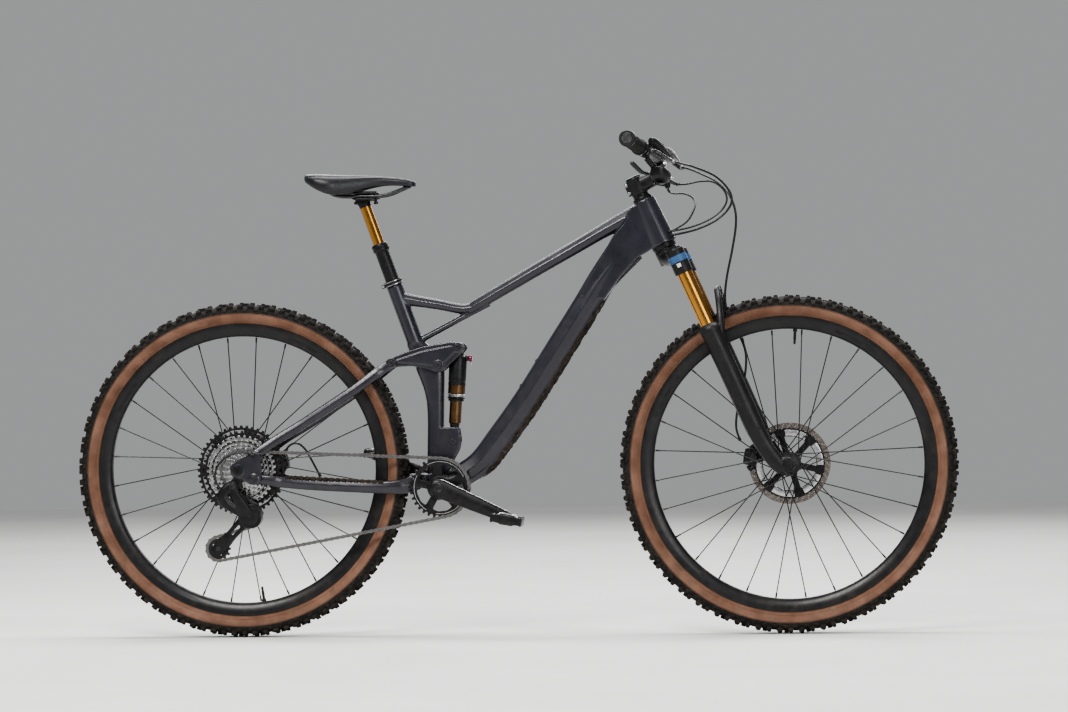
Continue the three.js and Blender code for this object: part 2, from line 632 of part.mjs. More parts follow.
function chainLine(offset) {
  const points = [];
  CHAIN_WHEELS.forEach((wheel, i) => {
    const before = CHAIN_WHEELS[(i + 3) % 4];
    const after = CHAIN_WHEELS[(i + 1) % 4];
    const start = runHeading(before, wheel);
    let sweep = runHeading(wheel, after) - start;
    while (sweep * wheel.turn < 0) sweep += wheel.turn * 2 * Math.PI;
    while (sweep * wheel.turn > 2 * Math.PI) sweep -= wheel.turn * 2 * Math.PI;
    const steps = Math.max(3, Math.ceil(Math.abs(sweep) / 0.25));
    for (let k = 0; k <= steps; k += 1) {
      const heading = start + (sweep * k) / steps;
      const radius = wheel.radius - wheel.turn * offset;
      points.push([
        wheel.centre[0] + wheel.turn * radius * Math.sin(heading),
        wheel.centre[1] - wheel.turn * radius * Math.cos(heading),
      ]);
    }
  });
  return points;
}

add('chain', plate(chainLine(CHAIN_HALF_HEIGHT), CHAIN_Y - CHAIN_HALF_WIDTH, CHAIN_Y + CHAIN_HALF_WIDTH,
  [chainLine(-CHAIN_HALF_HEIGHT)]), STEEL);

function pulley(centre) {
  return plate(circle(centre, pitchRadius(PULLEY_TEETH) - 4, 16), CHAIN_Y - 1.2, CHAIN_Y + 1.2, [circle(centre, 3.3, 8)]);
}

add('guide_pulley', pulley(GUIDE_PULLEY), PLASTIC);
add('tension_pulley', pulley(TENSION_PULLEY), PLASTIC);

function capsule(a, b, radius) {
  const angle = Math.atan2(b[1] - a[1], b[0] - a[0]);
  const cap = (centre, start) => Array.from({ length: 7 }, (_, i) => {
    const t = start + (i / 6) * Math.PI;
    return [centre[0] + radius * Math.cos(t), centre[1] + radius * Math.sin(t)];
  });
  return [...cap(b, angle - Math.PI / 2), ...cap(a, angle + Math.PI / 2)];
}

const cage = join(
  plate(capsule(GUIDE_PULLEY, TENSION_PULLEY, 13), -57.4, -55.2),
  plate(capsule(GUIDE_PULLEY, TENSION_PULLEY, 13), -45, -43),
  crossBar(GUIDE_PULLEY, -57, -43.5, 2.8, 8),
  crossBar(TENSION_PULLEY, -57, -43.5, 2.8, 8));
add('derailleur_cage', cage, DARK_STEEL);

function derailleurBody() {
  const mount = crossBar([-613, 337], -97, -82.4, 11, 14);
  const link = tube([[-613, -90, 335], [-604, -90, 312], [-590, -84, 287], [-578, -74, 271]],
    [[6, 11, 0.8], [8, 12, 0.8], [10, 13, 0.8], [10, 13, 0.8]], 10);
  const knuckle = crossBar([-578, 270], -86, -58, 22, 14);
  return join(mount, link, knuckle);
}

add('derailleur_body', derailleurBody(), BLACK_ALLOY);

// ---------------------------------------------------------------- fork
function forkCrown() {
  const steerer = rod([0, 0, -140], [0, 0, 51], 14.3, ROUND);
  const race = turnedUp([[0, -117], [25, -117], [26, -124], [24, -152], [0, -152]], ROUND);
  const bridge = tube([[20, -66, -150], [14, -45, -146], [3, -22, -141], [1, 0, -140], [3, 22, -141], [14, 45, -146], [20, 66, -150]],
    [[14, 19, 0.8], [14, 20, 0.8], [15, 22, 0.8], [15, 23, 0.8], [15, 22, 0.8], [14, 20, 0.8], [14, 19, 0.8]], 8, [0, 0, 1]);
  const { forward: f, side, radius } = STANCHION;
  const sleeves = [-side, side].map((y) => rod([f, y, -190], [f, y, -128], 21, ROUND, 20));
  const bores = [-side, side].map((y) => rod([f, y, -200], [f, y, -135], radius + GAP, ROUND));
  return cut(join(steerer, race, bridge, ...sleeves), ...bores).applyMatrix4(steering);
}

add('fork_crown', forkCrown(), FORK_PAINT);

function stanchion(side) {
  const { forward: f, side: s, radius } = STANCHION;
  return rod([f, side * s, -355], [f, side * s, -136], radius, ROUND).applyMatrix4(steering);
}

add('stanchion_right', stanchion(-1), GOLD);
add('stanchion_left', stanchion(1), GOLD);

function forkLeg(side) {
  const stations = [
    [-316, 20, 65, 23.6, 23.6], [-328, 20, 65, 23.6, 23.6], [-334, 20, 65, 22.4, 22.4], [-552, 20, 65, 21.6, 21.6],
    [-574, 20.5, 67, 20, 16.5], [-612, 24, 69, 18, 12.5], [-648, 33, 69, 18, 12.5], [-672, 43, 69, 18, 12.5],
  ];
  return loft(stations.map(([u, f, y, halfForward, halfSide]) => oval(
    [f, side * y, u], new THREE.Vector3(0, 1, 0), new THREE.Vector3(1, 0, 0), halfSide, halfForward, 10, 0.95)));
}

function forkLowers() {
  const legs = [-1, 1].map(forkLeg);
  const { forward, up } = FORK_AXLE;
  const dropouts = [-1, 1].map((side) => rod([forward, side * 56, up], [forward, side * 80, up], 19, 14));
  const half = [[33, -65, -346], [44, -63, -322], [56, -55, -296], [64, -38, -268], [67, -18, -250]];
  const path = [...half, [67.5, 0, -246], ...mirrored(half).reverse()];
  const arch = tube(path, [[8, 9, 0.8]], 8, [1, 0, 0]);
  const solid = join(...legs, ...dropouts, arch);
  const { forward: f, side: s, radius } = STANCHION;
  const bores = [-s, s].map((y) => rod([f, y, -486], [f, y, -300], radius + GAP, ROUND));
  const axleBore = rod([forward, -90, up], [forward, 90, up], 7.9, 12);
  return cut(solid, ...bores, axleBore).applyMatrix4(steering);
}

add('fork_lowers', forkLowers(), FORK_PAINT);

const frontAxle = join(crossBar(FRONT_HUB, -82, 84, 7.5), crossBar(FRONT_HUB, 82, 86.5, 10));
add('front_axle', frontAxle, BLACK_ALLOY);

// ---------------------------------------------------------------- brake calipers
// a block that straddles its rotor: hub centre, rotor radius and y, direction from the hub
function caliper(hubCentre, radius, y, direction) {
  const body = block(-15, 15, y - 14, y + 13, -19, 19).translate(radius - 3, 0, 0);
  const slot = rod([0, y - 2.6, 0], [0, y + 2.6, 0], radius + 3, 28);
  return cut(body, slot).rotateY(-direction).translate(hubCentre[0], 0, hubCentre[1]);
}

add('front_caliper', caliper(FRONT_HUB, 90, 44, degrees(170)), BLACK_ALLOY);
add('rear_caliper', caliper(REAR_HUB, 80, 58.2, degrees(11)), BLACK_ALLOY);

// ---------------------------------------------------------------- cockpit
const BAR_CENTRE = inFrame(steering, [[57, 0, 35]])[0];
// the handlebar's centre line on the left side
const BAR_HALF = [
  BAR_CENTRE, [BAR_CENTRE[0], 28, BAR_CENTRE[2]], [BAR_CENTRE[0] - 1, 45, BAR_CENTRE[2] + 4],
  [BAR_CENTRE[0] - 3, 80, BAR_CENTRE[2] + 26], [BAR_CENTRE[0] - 6, 105, BAR_CENTRE[2] + 33.5],
  [BAR_CENTRE[0] - 42, BAR_HALF_WIDTH, BAR_CENTRE[2] + 62.5],
];

// the point of the bar's centre line at a distance from the mid-plane
function barPoint(y) {
  const reach = Math.abs(y);
  const [inner, outer] = BAR_HALF.slice(-2);
  const t = (reach - inner[1]) / (outer[1] - inner[1]);
  return [inner[0] + t * (outer[0] - inner[0]), y, inner[2] + t * (outer[2] - inner[2])];
}

function stem() {
  const clamp = turnedUp([[0, 57], [17, 57], [18, 51.6], [19.5, 46], [19.5, 20], [19, 14], [0, 14]], ROUND);
  const neck = tube([[16, 0, 31], [48, 0, 34]], [[15, 14, 0.8], [17, 15, 0.8]]);
  const barClamp = rod([57, -24, 35], [57, 24, 35], 20.5, ROUND);
  const solid = join(clamp, neck, barClamp).applyMatrix4(steering);
  return cut(solid, rod([BAR_CENTRE[0], -40, BAR_CENTRE[2]], [BAR_CENTRE[0], 40, BAR_CENTRE[2]], 16.3, 14),
    rod([0, 0, 0], [0, 0, 51.4], 14.7, ROUND).applyMatrix4(steering));
}

add('stem', stem(), BLACK_ALLOY);

const barPath = [...mirrored(BAR_HALF.slice(1)).reverse(), ...BAR_HALF];
const barRadii = [11, 11, 14, 15.6, 15.9, 15.9, 15.9, 15.6, 14, 11, 11].map((r) => [r, r]);
add('handlebar', tube(barPath, barRadii, 12, [0, 0, 1]), BLACK_ALLOY);

function grip(side) {
  const at = (y) => barPoint(side * y);
  const outside = tube([at(GRIP_INNER), at(GRIP_INNER + 9), at(GRIP_INNER + 10), at(377), at(BAR_HALF_WIDTH + 3)],
    [[18, 18], [18, 18], [15.6, 15.6], [16.4, 16.4], [15.6, 15.6]], 12, [0, 0, 1]);
  return cut(outside, tube([at(GRIP_INNER - 8), at(BAR_HALF_WIDTH + GAP)], [[11.4, 11.4]], 12, [0, 0, 1]));
}

add('grip_right', grip(-1), RUBBER);
add('grip_left', grip(1), RUBBER);

// a split clamp round the bar
function barClamp(side, y, width, radius) {
  const at = (v) => barPoint(side * v);
  return [
    tube([at(y - width / 2), at(y + width / 2)], [[radius, radius]], 12, [0, 0, 1]),
    tube([at(y - width), at(y + width)], [[11.5, 11.5]], 12, [0, 0, 1]),
  ];
}

function brakeBody(side) {
  const [ring, bore] = barClamp(side, 226, 13, 15.5);
  const path = [[327, 236, 1071], [334, 222, 1067], [345, 195, 1055], [354, 170, 1044], [365, 150, 1031]]
    .map(([x, y, z]) => [x, side * y, z]);
  const cylinder = tube(path, [[8, 8], [11, 10], [11, 10], [8.5, 8.5], [5, 5]], 10, [0, 0, 1]);
  const neck = rod(barPoint(side * 226), [334, side * 224, 1066], 6, 8);
  return cut(join(ring, cylinder, neck), bore);
}

add('brake_body_right', brakeBody(-1), BLACK_ALLOY);
add('brake_body_left', brakeBody(1), BLACK_ALLOY);

function brakeLever(side) {
  const path = [[362, 182, 1032], [364, 205, 1030], [357, 250, 1035], [345, 300, 1043], [341, 335, 1045]]
    .map(([x, y, z]) => [x, side * y, z]);
  return tube(path, [[6, 7], [5, 7], [4.5, 6], [4.5, 6], [4.5, 5.5]], 8, [0, 0, 1]);
}

add('brake_lever_right', brakeLever(-1), BLACK_ALLOY);
add('brake_lever_left', brakeLever(1), BLACK_ALLOY);

function shifterBody() {
  const [ring, bore] = barClamp(-1, 203, 11, 14.8);
  const neck = rod([315, -203, 1036], [334, -196, 1012], 7, 8);
  const housing = tube([[338, -214, 1006], [344, -198, 1000], [350, -178, 994], [356, -166, 990]],
    [[13, 18, 0.8], [15, 22, 0.8], [14, 18, 0.8], [7, 7, 0.8]], 10, [0, 0, 1]);
  const barrel = rod([356, -168, 990], [374, -152, 981], 4.5, 8);
  return cut(join(ring, neck, housing, barrel), bore);
}

add('shifter_body', shifterBody(), PLASTIC);

const shiftLever = tube([[317, -206, 1002], [306, -220, 1005], [292, -234, 1018], [285, -243, 1027]],
  [[3.5, 6], [3.5, 7], [3.5, 8], [3, 6]], 8, [0, 0, 1]);
add('shift_lever', shiftLever, PLASTIC);

function remoteBody() {
  const [ring, bore] = barClamp(1, 203, 11, 14.8);
  const body = tube([[316, 203, 1036], [324, 199, 1018], [330, 195, 1000], [334, 193, 984]],
    [[9, 9], [11, 11], [10, 10], [5, 5]], 8);
  return cut(join(ring, body), bore);
}

add('remote_body', remoteBody(), BLACK_ALLOY);

const dropperLever = tube([[309, 214, 1008], [300, 226, 1008], [290, 240, 1014], [286, 252, 1018]],
  [[3.5, 6], [3.5, 7], [3.5, 9], [3, 7]], 8, [0, 0, 1]);
add('dropper_lever', dropperLever, BLACK_ALLOY);

// ---------------------------------------------------------------- hoses and housings
const HOSE_RADIUS = 2.5;
const HOUSING_RADIUS = 2.1;
const rearBrakeHoseFront = [
  [366.5, -148.5, 1030], [385, -120, 1026], [412, -80, 1019], [453, -42, 1001], [480, -22, 973],
  [487, -12, 948], [476, -10, 926], [450, -16, 904], [415, -19, 888], [385, -18, 880], [362.5, -15, 876],
];
const shiftHousingFront = [
  [375.5, -150.5, 980.3], [395, -130, 981], [425, -92, 988], [450, -60, 987], [470, -36, 972],
  [477, -24, 950], [466, -22, 928], [440, -26, 908], [410, -27, 895], [384, -25, 888], [358, -21, 884],
];
const dropperHousing = [
  [334.5, 192.5, 982.5], [338, 182, 976], [352, 150, 971], [375, 110, 969], [395, 76, 960],
  [403, 52, 944], [398, 36, 925], [384, 23, 903], [359, 15, 886],
];
const frontBrakeHose = [
  [366.5, 148.5, 1030], [385, 125, 1025], [415, 92, 1012], [450, 64, 993], [477, 46, 966],
  [491, 42, 930], [492, 46, 893], [483, 50, 840], [470, 63, 782], [465, 71, 737], [471, 69, 702],
  [489, 50, 664], [503, 39, 640], [511, 36, 610], [509, 37, 570], [498, 37, 520], [489, 42, 480],
  [487, 49, 448], [495, 51, 421],
];
add('rear_brake_hose_front', hose(rearBrakeHoseFront, HOSE_RADIUS, 20), CORD);
add('shift_housing_front', hose(shiftHousingFront, HOUSING_RADIUS, 20), CORD);
add('dropper_housing', hose(dropperHousing, HOUSING_RADIUS, 15), CORD);
add('front_brake_hose', hose(frontBrakeHose, HOSE_RADIUS, 30), CORD);

const rearBrakeHose = [
  [-440, 51, 351.5], [-446, 51, 362], [-458, 51, 385], [-472, 51, 410], [-486, 50, 424], [-500, 50, 426],
  [-512, 53, 419], [-519, 56, 409],
];
const derailleurHousing = [
  [-566, -85.5, 404], [-580, -87, 409], [-597, -88, 411], [-622, -89, 404], [-642, -91, 388],
  [-652, -92, 366], [-650, -92, 347], [-641, -91, 333], [-626, -90, 325],
];
add('rear_brake_hose', hose(rearBrakeHose, HOSE_RADIUS, 12), CORD);
add('derailleur_housing', hose(derailleurHousing, HOUSING_RADIUS, 14), CORD);

export default bike;
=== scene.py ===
"""The looks of a full-suspension mountain bike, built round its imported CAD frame.

Lengths are in millimetres until `piece` turns them into metres. +X is forward, +Z up and
+Y the rider's left, and the origin is on the ground half way between the hubs.
"""
import json
import math
import random

import bmesh
import bpy
from mathutils import Matrix, Vector


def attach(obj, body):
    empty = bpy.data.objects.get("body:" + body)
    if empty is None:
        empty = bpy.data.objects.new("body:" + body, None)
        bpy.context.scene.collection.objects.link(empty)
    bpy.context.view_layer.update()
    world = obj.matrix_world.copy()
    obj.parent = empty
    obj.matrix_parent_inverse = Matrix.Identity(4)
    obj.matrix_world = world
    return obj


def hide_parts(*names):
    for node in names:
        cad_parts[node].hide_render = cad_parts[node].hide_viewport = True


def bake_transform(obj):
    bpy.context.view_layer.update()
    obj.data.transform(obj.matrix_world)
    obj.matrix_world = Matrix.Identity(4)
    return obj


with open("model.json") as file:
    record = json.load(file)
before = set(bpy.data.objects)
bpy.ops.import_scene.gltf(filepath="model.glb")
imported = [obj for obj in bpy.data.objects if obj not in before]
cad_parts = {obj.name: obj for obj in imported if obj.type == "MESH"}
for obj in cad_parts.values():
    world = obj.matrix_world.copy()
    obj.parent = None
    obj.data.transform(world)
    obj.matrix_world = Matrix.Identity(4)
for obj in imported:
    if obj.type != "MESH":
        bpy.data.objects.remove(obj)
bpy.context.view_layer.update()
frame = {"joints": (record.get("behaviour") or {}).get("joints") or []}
random.seed(7)

MM = 0.001
TAU = 2 * math.pi


# ------------------------------------------------------------------ places in the frame
JOINTS = {joint["name"]: joint for joint in frame["joints"]}


def pivot(name):
    """The x and z of a joint, in millimetres."""
    x, _, z = JOINTS[name]["pos_m"]
    return (x / MM, z / MM)


def frame_along(origin, axis):
    """Forward, side and up round a point: local Z along the axis, local Y to the left."""
    up = Vector(axis).normalized()
    side = Vector((0, 1, 0))
    forward = side.cross(up)
    matrix = Matrix((forward, side, up)).transposed().to_4x4()
    matrix.translation = Vector(origin)
    return matrix


# pivots and axles, as [x, z]
FRONT_HUB = pivot("front_wheel_spin")
REAR_HUB = pivot("rear_wheel_spin")
BOTTOM_BRACKET = pivot("crank_spin")
MAIN_PIVOT = pivot("main_pivot")
HORST_PIVOT = pivot("horst_pivot")
ROCKER_PIVOT = pivot("rocker_pivot")
SHOCK_BOTTOM = pivot("shock_eyelet")
GUIDE_PULLEY = pivot("guide_pulley_spin")
TENSION_PULLEY = pivot("tension_pulley_spin")
PEDAL_RIGHT = pivot("pedal_right_spin")
PEDAL_LEFT = pivot("pedal_left_spin")
STAY_PIVOT = (-266, 603)
SHOCK_TOP = (-120, 636)
# the right crank arm's angle below forward, and the pedals' tilt
CRANK_DROOP = math.radians(23.5)
PEDAL_TILT = math.radians(10)
# the chain's middle plane and the pitch of its pins
CHAIN_Y = -50.2
PITCH = 12.7
RING_TEETH = 32
COG_TEETH = 21
PULLEY_TEETH = 13
HEAD_TOP = (292, 0, 952.4)
SEAT_TOP = (-261.3, 0, 773)
STEERING = frame_along(HEAD_TOP, JOINTS["steering"]["axis"])
SEATING = frame_along(SEAT_TOP, JOINTS["dropper_travel"]["axis"])
SHOCK = frame_along((SHOCK_BOTTOM[0], 0, SHOCK_BOTTOM[1]), JOINTS["shock_stroke"]["axis"])
SHOCK_LENGTH = math.dist(SHOCK_TOP, SHOCK_BOTTOM)
STANCHION = {"forward": 20, "side": 65, "radius": 17}
AXLE = {"forward": 51.3, "up": -658.1}


def pitch_radius(teeth):
    """Radius of the chain's pitch line on a wheel with so many teeth."""
    return PITCH / (2 * math.sin(math.pi / teeth))


# ------------------------------------------------------------------ camera, light and floor
def camera():
    """A long lens from the drive side, turned a little towards the front."""
    yaw, pitch, roll = math.radians(5.80), math.radians(0.1746), math.radians(-0.795)
    look = Vector((-math.sin(yaw) * math.cos(pitch), math.cos(yaw) * math.cos(pitch), -math.sin(pitch)))
    right = Vector((math.cos(yaw), math.sin(yaw), 0))
    up = right.cross(look)
    right, up = (math.cos(roll) * right + math.sin(roll) * up,
                 -math.sin(roll) * right + math.cos(roll) * up)
    data = bpy.data.cameras.new("camera")
    data.lens = 135
    data.sensor_width = 36
    data.clip_end = 200
    cam = bpy.data.objects.new("camera", data)
    turn = Matrix((right, up, -look)).transposed().to_4x4()
    turn.translation = Vector((0.9374, -8.7734, 0.6408))
    cam.matrix_world = turn
    bpy.context.collection.objects.link(cam)
    bpy.context.scene.camera = cam


def area_light(name, place, aim, size, power, color=(1, 1, 1)):
    """A rectangular light, places in metres, aimed at a point."""
    data = bpy.data.lights.new(name, "AREA")
    data.shape = "RECTANGLE"
    data.size, data.size_y = size
    data.energy = power
    data.color = color
    light = bpy.data.objects.new(name, data)
    light.location = place
    light.rotation_euler = (Vector(aim) - Vector(place)).to_track_quat("-Z", "Y").to_euler()
    bpy.context.collection.objects.link(light)


def studio():
    """Four area lights, a pale surround and the view transform."""
    area_light("key", (-1.5, -4.5, 4.5), (0, 0, 0.5), (3.0, 1.6), 400, (1, 0.99, 0.97))
    area_light("front_fill", (3.5, -5.0, 1.8), (0.2, 0, 0.6), (2.6, 2.2), 120, (0.97, 0.98, 1))
    area_light("overhead", (0, 0.4, 4.2), (0, 0, 0.5), (5.0, 1.6), 300)
    area_light("back_rim", (0.5, 4.5, 3.0), (0, 0, 0.6), (5.0, 2.0), 150)
    world = bpy.data.worlds.new("studio")
    world.use_nodes = True
    background = world.node_tree.nodes["Background"]
    background.inputs["Color"].default_value = (0.86, 0.87, 0.88, 1)
    background.inputs["Strength"].default_value = 0.36
    bpy.context.scene.world = world
    bpy.context.scene.view_settings.view_transform = "AgX"
    bpy.context.scene.view_settings.look = "AgX - Medium High Contrast"


# ------------------------------------------------------------------ materials
class Nodes:
    """A material's node tree, with short calls for the nodes used here."""

    def __init__(self, name):
        self.material = bpy.data.materials.new(name)
        self.material.use_nodes = True
        self.tree = self.material.node_tree
        self.shader = self.tree.nodes["Principled BSDF"]
        self.place = self.node("ShaderNodeTexCoord").outputs["Object"]

    def node(self, kind, **settings):
        made = self.tree.nodes.new(kind)
        for key, value in settings.items():
            setattr(made, key, value)
        return made

    def link(self, source, target):
        self.tree.links.new(source, target)

    def noise(self, scale, detail=4, roughness=0.55, stretch=(1, 1, 1)):
        mapping = self.node("ShaderNodeMapping")
        mapping.inputs["Scale"].default_value = stretch
        self.link(self.place, mapping.inputs["Vector"])
        made = self.node("ShaderNodeTexNoise")
        made.inputs["Scale"].default_value = scale
        made.inputs["Detail"].default_value = detail
        made.inputs["Roughness"].default_value = roughness
        self.link(mapping.outputs["Vector"], made.inputs["Vector"])
        return made.outputs["Fac"]

    def ramp(self, factor, low, high, start=0.35, end=0.65):
        made = self.node("ShaderNodeMapRange", clamp=True)
        made.inputs["From Min"].default_value = start
        made.inputs["From Max"].default_value = end
        made.inputs["To Min"].default_value = low
        made.inputs["To Max"].default_value = high
        self.link(factor, made.inputs["Value"])
        return made.outputs["Result"]

    def math(self, operation, a, b):
        made = self.node("ShaderNodeMath", operation=operation)
        for socket, value in zip(made.inputs, (a, b)):
            if isinstance(value, (int, float)):
                socket.default_value = value
            else:
                self.link(value, socket)
        return made.outputs[0]

    def mix(self, factor, a, b):
        made = self.node("ShaderNodeMix", data_type="RGBA")
        self.link(factor, made.inputs["Factor"])
        for socket, value in ((made.inputs[6], a), (made.inputs[7], b)):
            if isinstance(value, tuple):
                socket.default_value = (*value, 1)
            else:
                self.link(value, socket)
        return made.outputs[2]

    def bump(self, height, strength, distance_mm):
        made = self.node("ShaderNodeBump")
        made.inputs["Strength"].default_value = strength
        made.inputs["Distance"].default_value = distance_mm * MM
        self.link(height, made.inputs["Height"])
        self.link(made.outputs["Normal"], self.shader.inputs["Normal"])

    def low_down(self, floor_m, top_m):
        """1 near the ground, falling to 0 at a height."""
        split = self.node("ShaderNodeSeparateXYZ")
        self.link(self.place, split.inputs[0])
        return self.ramp(split.outputs["Z"], 1.0, 0.0, floor_m, top_m)

    def set(self, **values):
        for key, value in values.items():
            self.shader.inputs[key.replace("_", " ")].default_value = value


DUST = (0.070, 0.052, 0.038)


def surface(name, color, second, rough, metallic=0.0, scale=60, fine=900, bump=0.12, depth=0.25,
            dust=0.0, stretch=(1, 1, 1), coat=0.0, coat_rough=0.2, specular=0.5):
    """Two-tone colour, uneven gloss, a fine grain and, where asked, dust from the ground."""
    n = Nodes(name)
    broad = n.noise(scale, stretch=stretch)
    grain = n.noise(fine, detail=3, stretch=stretch)
    tone = n.mix(n.ramp(broad, 0, 1), color, second)
    gloss = n.ramp(n.noise(scale * 2.3, detail=5), rough[0], rough[1], 0.3, 0.7)
    if dust:
        patches = n.ramp(n.noise(38, detail=6, roughness=0.7), 0, 1, 0.47, 0.66)
        amount = n.math("MULTIPLY", patches, n.low_down(0.1, 0.95))
        amount = n.math("MULTIPLY", amount, dust)
        tone = n.mix(amount, tone, DUST)
        gloss = n.math("MAXIMUM", gloss, n.math("MULTIPLY", amount, 0.9))
    n.link(tone, n.shader.inputs["Base Color"])
    n.link(gloss, n.shader.inputs["Roughness"])
    n.bump(grain, bump, depth)
    n.set(Metallic=metallic, Coat_Weight=coat, Coat_Roughness=coat_rough, Specular_IOR_Level=specular)
    return n.material


MATERIALS = {"frame": surface("frame_paint", (0.0075, 0.0072, 0.0125), (0.0115, 0.011, 0.0185),
                              (0.25, 0.36), 0.0, 14, 1600, 0.05, 0.1, dust=0.2, coat=0.25, coat_rough=0.14,
                              specular=0.42), "fork": surface("fork_paint", (0.0045, 0.0045, 0.005),
                                                              (0.007, 0.007, 0.008), (0.38, 0.5), 0.0, 20,
                                                              1500, 0.06, 0.1, dust=0.18, coat=0.05,
                                                              coat_rough=0.3, specular=0.26),
             "black": surface("black_anodised", (0.006, 0.006, 0.007), (0.012, 0.012, 0.013), (0.28, 0.44),
                              0.3, 60, 1800, 0.08, 0.1, dust=0.2, specular=0.3),
             "satin": surface("satin_alloy", (0.012, 0.012, 0.013), (0.02, 0.02, 0.022), (0.30, 0.42), 0.55,
                              50, 1600, 0.06, specular=0.35), "rim": surface("rim_carbon",
                                                                             (0.0045, 0.0045, 0.005),
                                                                             (0.0085, 0.0085, 0.009),
                                                                             (0.30, 0.45), 0.0, 30, 1400,
                                                                             0.08, dust=0.2, coat=0.12,
                                                                             specular=0.25),
             "gold": surface("gold_coating", (0.33, 0.160, 0.040), (0.39, 0.20, 0.055), (0.16, 0.27), 1.0,
                             20, 2600, 0.03, 0.05, stretch=(1, 1, 0.2)),
             "bronze": surface("bronze_coating", (0.10, 0.058, 0.030), (0.15, 0.088, 0.046), (0.2, 0.32),
                               1.0, 30, 1800, 0.04), "steel": surface("bright_steel", (0.40, 0.40, 0.41),
                                                                      (0.56, 0.56, 0.56), (0.20, 0.36), 1.0,
                                                                      90, 1500, 0.12, dust=0.18),
             "cog_steel": surface("cog_steel", (0.26, 0.26, 0.265), (0.40, 0.40, 0.40), (0.2, 0.34), 1.0,
                                  220, 1500, 0.12, dust=0.3), "dark_steel": surface("dark_steel",
                                                                                    (0.03, 0.03, 0.032),
                                                                                    (0.06, 0.06, 0.062),
                                                                                    (0.28, 0.45), 0.9, 90,
                                                                                    1500, 0.12, dust=0.25),
             "chain": surface("chain_steel", (0.12, 0.118, 0.12), (0.21, 0.205, 0.20), (0.24, 0.40), 0.95,
                              300, 2000, 0.15, dust=0.3), "brake_band": surface("brake_band",
                                                                                (0.13, 0.11, 0.10),
                                                                                (0.20, 0.175, 0.155),
                                                                                (0.26, 0.4), 0.95, 160,
                                                                                1500, 0.15),
             "tread": surface("tyre_tread", (0.0065, 0.006, 0.0058), (0.014, 0.012, 0.010), (0.72, 0.9),
                              0.0, 160, 2400, 0.5, 0.5, dust=0.35, specular=0.25),
             "wall": surface("tyre_sidewall", (0.112, 0.054, 0.033), (0.172, 0.092, 0.062), (0.62, 0.8),
                             0.0, 24, 1900, 0.35, 0.3, dust=0.5, specular=0.2),
             "grip": surface("grip_rubber", (0.007, 0.007, 0.007), (0.013, 0.0125, 0.012), (0.6, 0.8), 0.0,
                             200, 2600, 0.4, 0.3, specular=0.3), "saddle": surface("saddle_cover",
                                                                                   (0.006, 0.006, 0.008),
                                                                                   (0.010, 0.010, 0.012),
                                                                                   (0.30, 0.46), 0.0, 70,
                                                                                   2600, 0.35, 0.2,
                                                                                   specular=0.4),
             "plastic": surface("black_plastic", (0.007, 0.007, 0.008), (0.012, 0.012, 0.013), (0.36, 0.55),
                                0.0, 120, 2400, 0.2, 0.2, dust=0.15, specular=0.32),
             "hose": surface("hose_black", (0.005, 0.005, 0.006), (0.009, 0.009, 0.010), (0.26, 0.4), 0.0,
                             90, 2200, 0.08, specular=0.35), "guard": surface("rubber_guard",
                                                                              (0.008, 0.007, 0.0065),
                                                                              (0.028, 0.020, 0.015),
                                                                              (0.7, 0.92), 0.0, 90, 700,
                                                                              0.7, 1.2, dust=0.6,
                                                                              specular=0.2),
             "label": surface("plain_label", (0.015, 0.060, 0.145), (0.025, 0.080, 0.185), (0.4, 0.5), 0.0,
                              60, 1500, 0.04), "white": surface("plain_white", (0.50, 0.50, 0.50),
                                                                (0.6, 0.6, 0.59), (0.4, 0.5), 0.0, 60, 1500,
                                                                0.04),
             # mark: a dark matte sheet in the stem's faceplate split, painted shade of the gap
             "mark": surface("painted_gap_shade", (0.006, 0.0055, 0.005), (0.011, 0.010, 0.009), (0.6, 0.75), 0.0,
                             60, 1500, 0.2, specular=0.2), "anodised": surface("anodised_knob",
                                                                               (0.14, 0.010, 0.045),
                                                                               (0.20, 0.02, 0.07),
                                                                               (0.2, 0.3), 0.9, 60, 1500,
                                                                               0.05),
             "floor": surface("studio_floor", (0.56, 0.56, 0.55), (0.60, 0.60, 0.59), (0.75, 0.85), 0.0, 2,
                              40, 0.02, 0.3),}


# ------------------------------------------------------------------ shapes, as (points, faces)
def grid(rows, closed=False):
    """A skin through rows of points; each row closes on itself. Open ends get flat caps."""
    count = len(rows[0])
    points = [tuple(p) for row in rows for p in row]
    faces = []
    for r in range(len(rows) if closed else len(rows) - 1):
        for i in range(count):
            j = (i + 1) % count
            below, above = r * count, ((r + 1) % len(rows)) * count
            faces.append((below + i, below + j, above + j, above + i))
    if not closed:
        faces.append(tuple(reversed(range(count))))
        faces.append(tuple((len(rows) - 1) * count + i for i in range(count)))
    return points, faces


def moved(shape, matrix):
    points, faces = shape
    return [tuple(matrix @ Vector(p)) for p in points], faces


def mirrored(shape):
    """The shape on the other side of the bike."""
    points, faces = shape
    return [(x, -y, z) for x, y, z in points], [tuple(reversed(f)) for f in faces]


def both_sides(shape):
    """The shape and its mirror image across the bike."""
    return [shape, mirrored(shape)]


def turned(profile, segments=48, centre=(0, 0), start=0.0):
    """A body turned about the Y axis through [x, z], from [radius, y] points."""
    rows = []
    for k in range(segments):
        a = start + k / segments * TAU
        rows.append([(centre[0] + r * math.sin(a), y, centre[1] + r * math.cos(a)) for r, y in profile])
    return grid(rows, closed=True)


def turned_up(profile, matrix, segments=40):
    """The same about a frame's own Z axis, from [radius, z] points."""
    rows = []
    for k in range(segments):
        a = k / segments * TAU
        rows.append([matrix @ Vector((r * math.cos(a), r * math.sin(a), h)) for r, h in profile])
    return grid(rows, closed=True)


